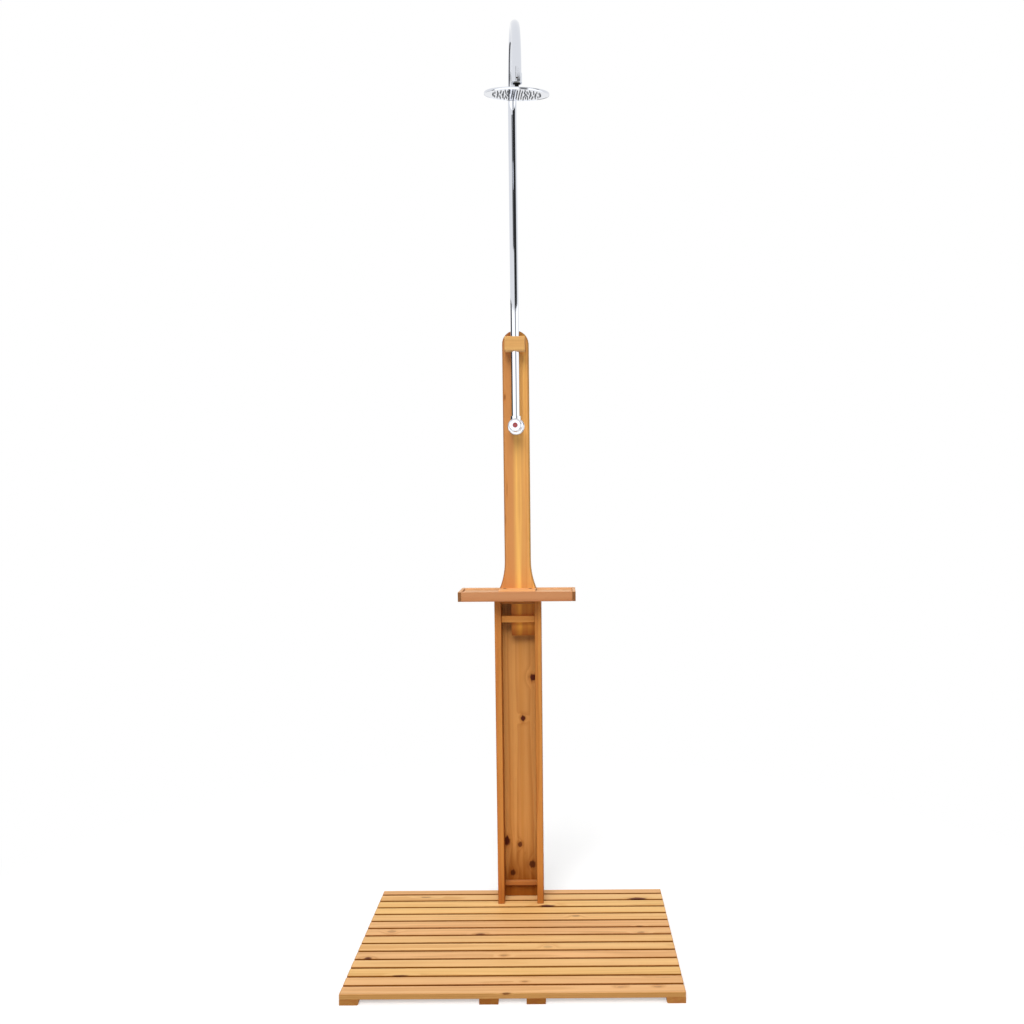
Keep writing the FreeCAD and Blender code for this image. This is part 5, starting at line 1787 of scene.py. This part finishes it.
@dataclass(frozen=True)
class Sun:
    """A far soft lamp. Its level is what a white face square to it shows, and its angles are in degrees."""

    name: str
    azimuth: float
    elevation: float
    level: float
    softness: float

    def direction(self) -> Vector:
        """From the object towards the lamp; azimuth 0 is straight in front, positive to the right.

        Returns:
            A direction of length 1.
        """
        azimuth, elevation = math.radians(self.azimuth), math.radians(self.elevation)
        flat = math.cos(elevation)
        return Vector((flat * math.sin(azimuth), -flat * math.cos(azimuth), math.sin(elevation)))


@dataclass(frozen=True)
class Card:
    """A curved upright card round the object that only polished metal shows.

    Its azimuth and the fade at its upright edges are in degrees, its height and radius in metres, and its
    level is the strength of its glow.
    """

    name: str
    azimuth: tuple[float, float]
    height: tuple[float, float]
    radius: float
    level: float
    fade: float = 2.0

    def material(self) -> bpy.types.Material:
        """Builds the card's own glow, which fades out at its two upright edges.

        Returns:
            The material.
        """
        material, graph, shader = new_material(f"{self.name}_grey")
        place = graph.add("SeparateXYZ", {0: graph.add("TexCoord").outputs["Object"]}).outputs
        azimuth = graph.math("ARCTAN2", place["X"], graph.math("MULTIPLY", place["Y"], -1.0))
        low, high = (math.radians(edge) for edge in self.azimuth)
        fade = math.radians(self.fade)
        rise = graph.smooth(azimuth, low, low + fade)
        fall = graph.smooth(azimuth, high, high - fade)
        grey = graph.add("Emission", {"Color": WHITE, "Strength": self.level}).outputs[0]
        clear = graph.add("BsdfTransparent").outputs[0]
        mix = graph.add("MixShader", {0: graph.math("MULTIPLY", rise, fall), 1: clear, 2: grey})
        graph.feed(graph.first("OUTPUT_MATERIAL").inputs["Surface"], mix.outputs[0])
        graph.tree.nodes.remove(shader)
        return material

    def surface(self, steps: int = 24) -> Surface:
        """Point (i, j) is (radius sine of turn j, minus radius cosine of turn j, height i).

        Args:
            steps: the number of stretches around.

        Returns:
            The card's surface.
        """
        turn = np.radians(np.linspace(*self.azimuth, steps + 1))
        x, y = self.radius * np.sin(turn), -self.radius * np.cos(turn)
        rows = [np.column_stack((x, y, np.full_like(x, level))) for level in self.height]
        return Surface(np.concatenate(rows), grid_faces(2, steps + 1, False, False).tolist())


@dataclass
class Studio:
    """The camera, the floor and the light.

    The floor turns from a surface that takes the shadow to plain white over shadow_reach from the origin.
    """

    image_side: float = 1024.0
    focal_pixels: float = 949.0
    sensor: float = 36.0
    position: Triple = (0.1336, -2.6693, 1.3254)
    pitch_down: float = math.radians(5.231)
    roll: float = math.radians(-0.40)
    centre_pixel: tuple[float, float] = (561.1, 577.6)
    far_clip: float = 60.0
    floor_half: float = 9.0
    floor_tone: Colour = (0.62, 0.62, 0.62, 1.0)
    floor_roughness: float = 0.9
    floor_specular: float = 0.1
    shadow_reach: tuple[float, float] = (0.85, 2.0)
    floor_glow: float = 0.45
    even_light: float = 0.30
    suns: tuple[Sun, ...] = (
        Sun("key_sun", azimuth=-6.0, elevation=47.0, level=0.76, softness=36.0),
        Sun("fill_sun", azimuth=50.0, elevation=28.0, level=0.10, softness=40.0),
        Sun("top_sun", azimuth=-10.0, elevation=80.0, level=0.13, softness=50.0),
    )
    cards: tuple[Card, ...] = (
        Card("bright_card", (-118, 115), (0.3, 2.75), 4.6, 1.5),
        Card("dark_edge_card", (-140, -77), (0.3, 2.75), 4.5, 0.05),
        Card("grey_line_card", (6, 46), (0.3, 2.75), 4.5, 0.25, fade=12.0),
        Card("grey_high_card", (-28, 30), (9.5, 14.4), 30.0, 0.14, fade=14.0),
        Card("dark_high_card", (2, 90), (5.0, 14.4), 29.0, 0.03, fade=14.0),
        Card("faint_top_card", (-24, -6), (14.4, 16.3), 30.0, 0.4, fade=6.0),
        Card("dark_low_left_card", (-75, -28), (0.02, 0.6), 2.3, 0.03),
        Card("dark_low_right_card", (28, 75), (0.02, 0.6), 2.3, 0.03),
    )

    def build(self) -> None:
        """Makes the camera, the floor, the world, the lamps and the cards."""
        self._camera()
        self._floor()
        self._world()
        self._lamps()
        self._cards()

    def _camera(self) -> None:
        """A level lens, tipped down and rolled a little, with the photograph's off-centre crop."""
        data = bpy.data.cameras.new("camera")
        data.sensor_width = self.sensor
        data.lens = self.focal_pixels / self.image_side * self.sensor
        data.shift_x = 0.5 - self.centre_pixel[0] / self.image_side
        data.shift_y = self.centre_pixel[1] / self.image_side - 0.5
        data.clip_end = self.far_clip
        camera = bpy.data.objects.new("camera", data)
        tip = Matrix.Rotation(math.pi / 2 - self.pitch_down, 4, "X")
        camera.matrix_world = Matrix.Translation(self.position) @ tip @ Matrix.Rotation(self.roll, 4, "Z")
        bpy.context.scene.collection.objects.link(camera)
        bpy.context.scene.camera = camera

    def _floor(self) -> None:
        """A pale floor that shows white to the camera and in metal, and keeps the object's shadow near it."""
        half = self.floor_half
        corners = np.array(((-half, -half, 0), (half, -half, 0), (half, half, 0), (-half, half, 0)))
        floor = self._sheet("floor", Surface(corners, [[0, 1, 2, 3]]))
        material, graph, shader = new_material("pale_floor")
        seen = self._seen_directly(graph)
        graph.feed(shader.inputs["Base Color"], self.floor_tone)
        graph.feed(shader.inputs["Roughness"], self.floor_roughness)
        graph.feed(shader.inputs["Specular IOR Level"], self.floor_specular)
        graph.feed(shader.inputs["Emission Color"], WHITE)
        graph.feed(shader.inputs["Emission Strength"], graph.math("MULTIPLY", seen, self.floor_glow))
        place = graph.add("TexCoord").outputs["Object"]
        away = graph.add("VectorMath", {0: place}, operation="LENGTH").outputs["Value"]
        far = graph.math("MULTIPLY", graph.smooth(away, *self.shadow_reach), seen)
        white = graph.add("Emission", {"Color": WHITE, "Strength": 1.0}).outputs[0]
        mix = graph.add("MixShader", {0: far, 1: shader.outputs[0], 2: white})
        graph.feed(graph.first("OUTPUT_MATERIAL").inputs["Surface"], mix.outputs[0])
        dress(floor, material)

    def _sheet(self, name: str, surface: Surface) -> bpy.types.Object:
        """An open sheet that belongs to the studio.

        Args:
            name: its name.
            surface: its points and faces.

        Returns:
            The object.
        """
        mesh = bpy.data.meshes.new(name)
        mesh.from_pydata(surface.points.tolist(), [], surface.faces)
        sheet = bpy.data.objects.new(name, mesh)
        bpy.context.scene.collection.objects.link(sheet)
        return sheet

    def _seen_directly(self, graph: Graph) -> bpy.types.NodeSocket:
        """1 for rays from the camera, from metal or through glass, else 0.

        Args:
            graph: the material's or world's graph.

        Returns:
            The mask's socket.
        """
        path = graph.add("LightPath").outputs
        direct = graph.math("MAXIMUM", path["Is Camera Ray"], path["Is Glossy Ray"])
        return graph.math("MAXIMUM", direct, path["Is Transmission Ray"])

    def _world(self) -> None:
        """A white backdrop, and a dimmer even light for everything else."""
        world = bpy.data.worlds.new("studio")
        world.use_nodes = True
        bpy.context.scene.world = world
        graph = Graph(world.node_tree)
        graph.tree.nodes.clear()
        light = graph.add("Background", {"Color": WHITE, "Strength": self.even_light})
        white = graph.add("Background", {"Color": WHITE, "Strength": 1.0})
        seen = self._seen_directly(graph)
        mix = graph.add("MixShader", {0: seen, 1: light.outputs[0], 2: white.outputs[0]})
        graph.add("OutputWorld", {"Surface": mix.outputs[0]})

    def _lamps(self) -> None:
        """A soft key from just left of the front, a weak fill from the right and a broad light from above."""
        for sun in self.suns:
            data = bpy.data.lights.new(sun.name, "SUN")
            data.energy = math.pi * sun.level
            data.angle = math.radians(sun.softness)
            lamp = bpy.data.objects.new(sun.name, data)
            lamp.matrix_world = sun.direction().to_track_quat("Z", "Y").to_matrix().to_4x4()
            lamp.visible_glossy = False
            bpy.context.scene.collection.objects.link(lamp)

    def _cards(self) -> None:
        """Bright and dark cards that give the chrome its lines. Only metal shows them."""
        for card in self.cards:
            sheet = self._sheet(card.name, card.surface())
            for ray in ("camera", "diffuse", "transmission", "shadow", "volume_scatter"):
                setattr(sheet, f"visible_{ray}", False)
            dress(sheet, card.material())


def main() -> None:
    """Builds the studio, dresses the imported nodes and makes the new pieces."""
    logging.basicConfig(level=logging.INFO, format="%(name)s: %(message)s")
    bpy.context.scene.view_settings.view_transform = "Standard"
    Studio().build()
    finishes = (CHROME, BLACK_ACETAL, NOZZLE_RUBBER, RED_INDEX)
    materials = {finish.name: finish.material() for finish in finishes}
    FootTray().build()
    PostAndShelf().build()
    Gooseneck(materials["chrome"]).build()
    RainHead(materials["chrome"], materials["nozzle_rubber"], materials["black_acetal"]).build()
    Valve(materials["chrome"], materials["red_index"]).build()
    Fittings().build(materials)


if __name__ == "__main__":
    main()
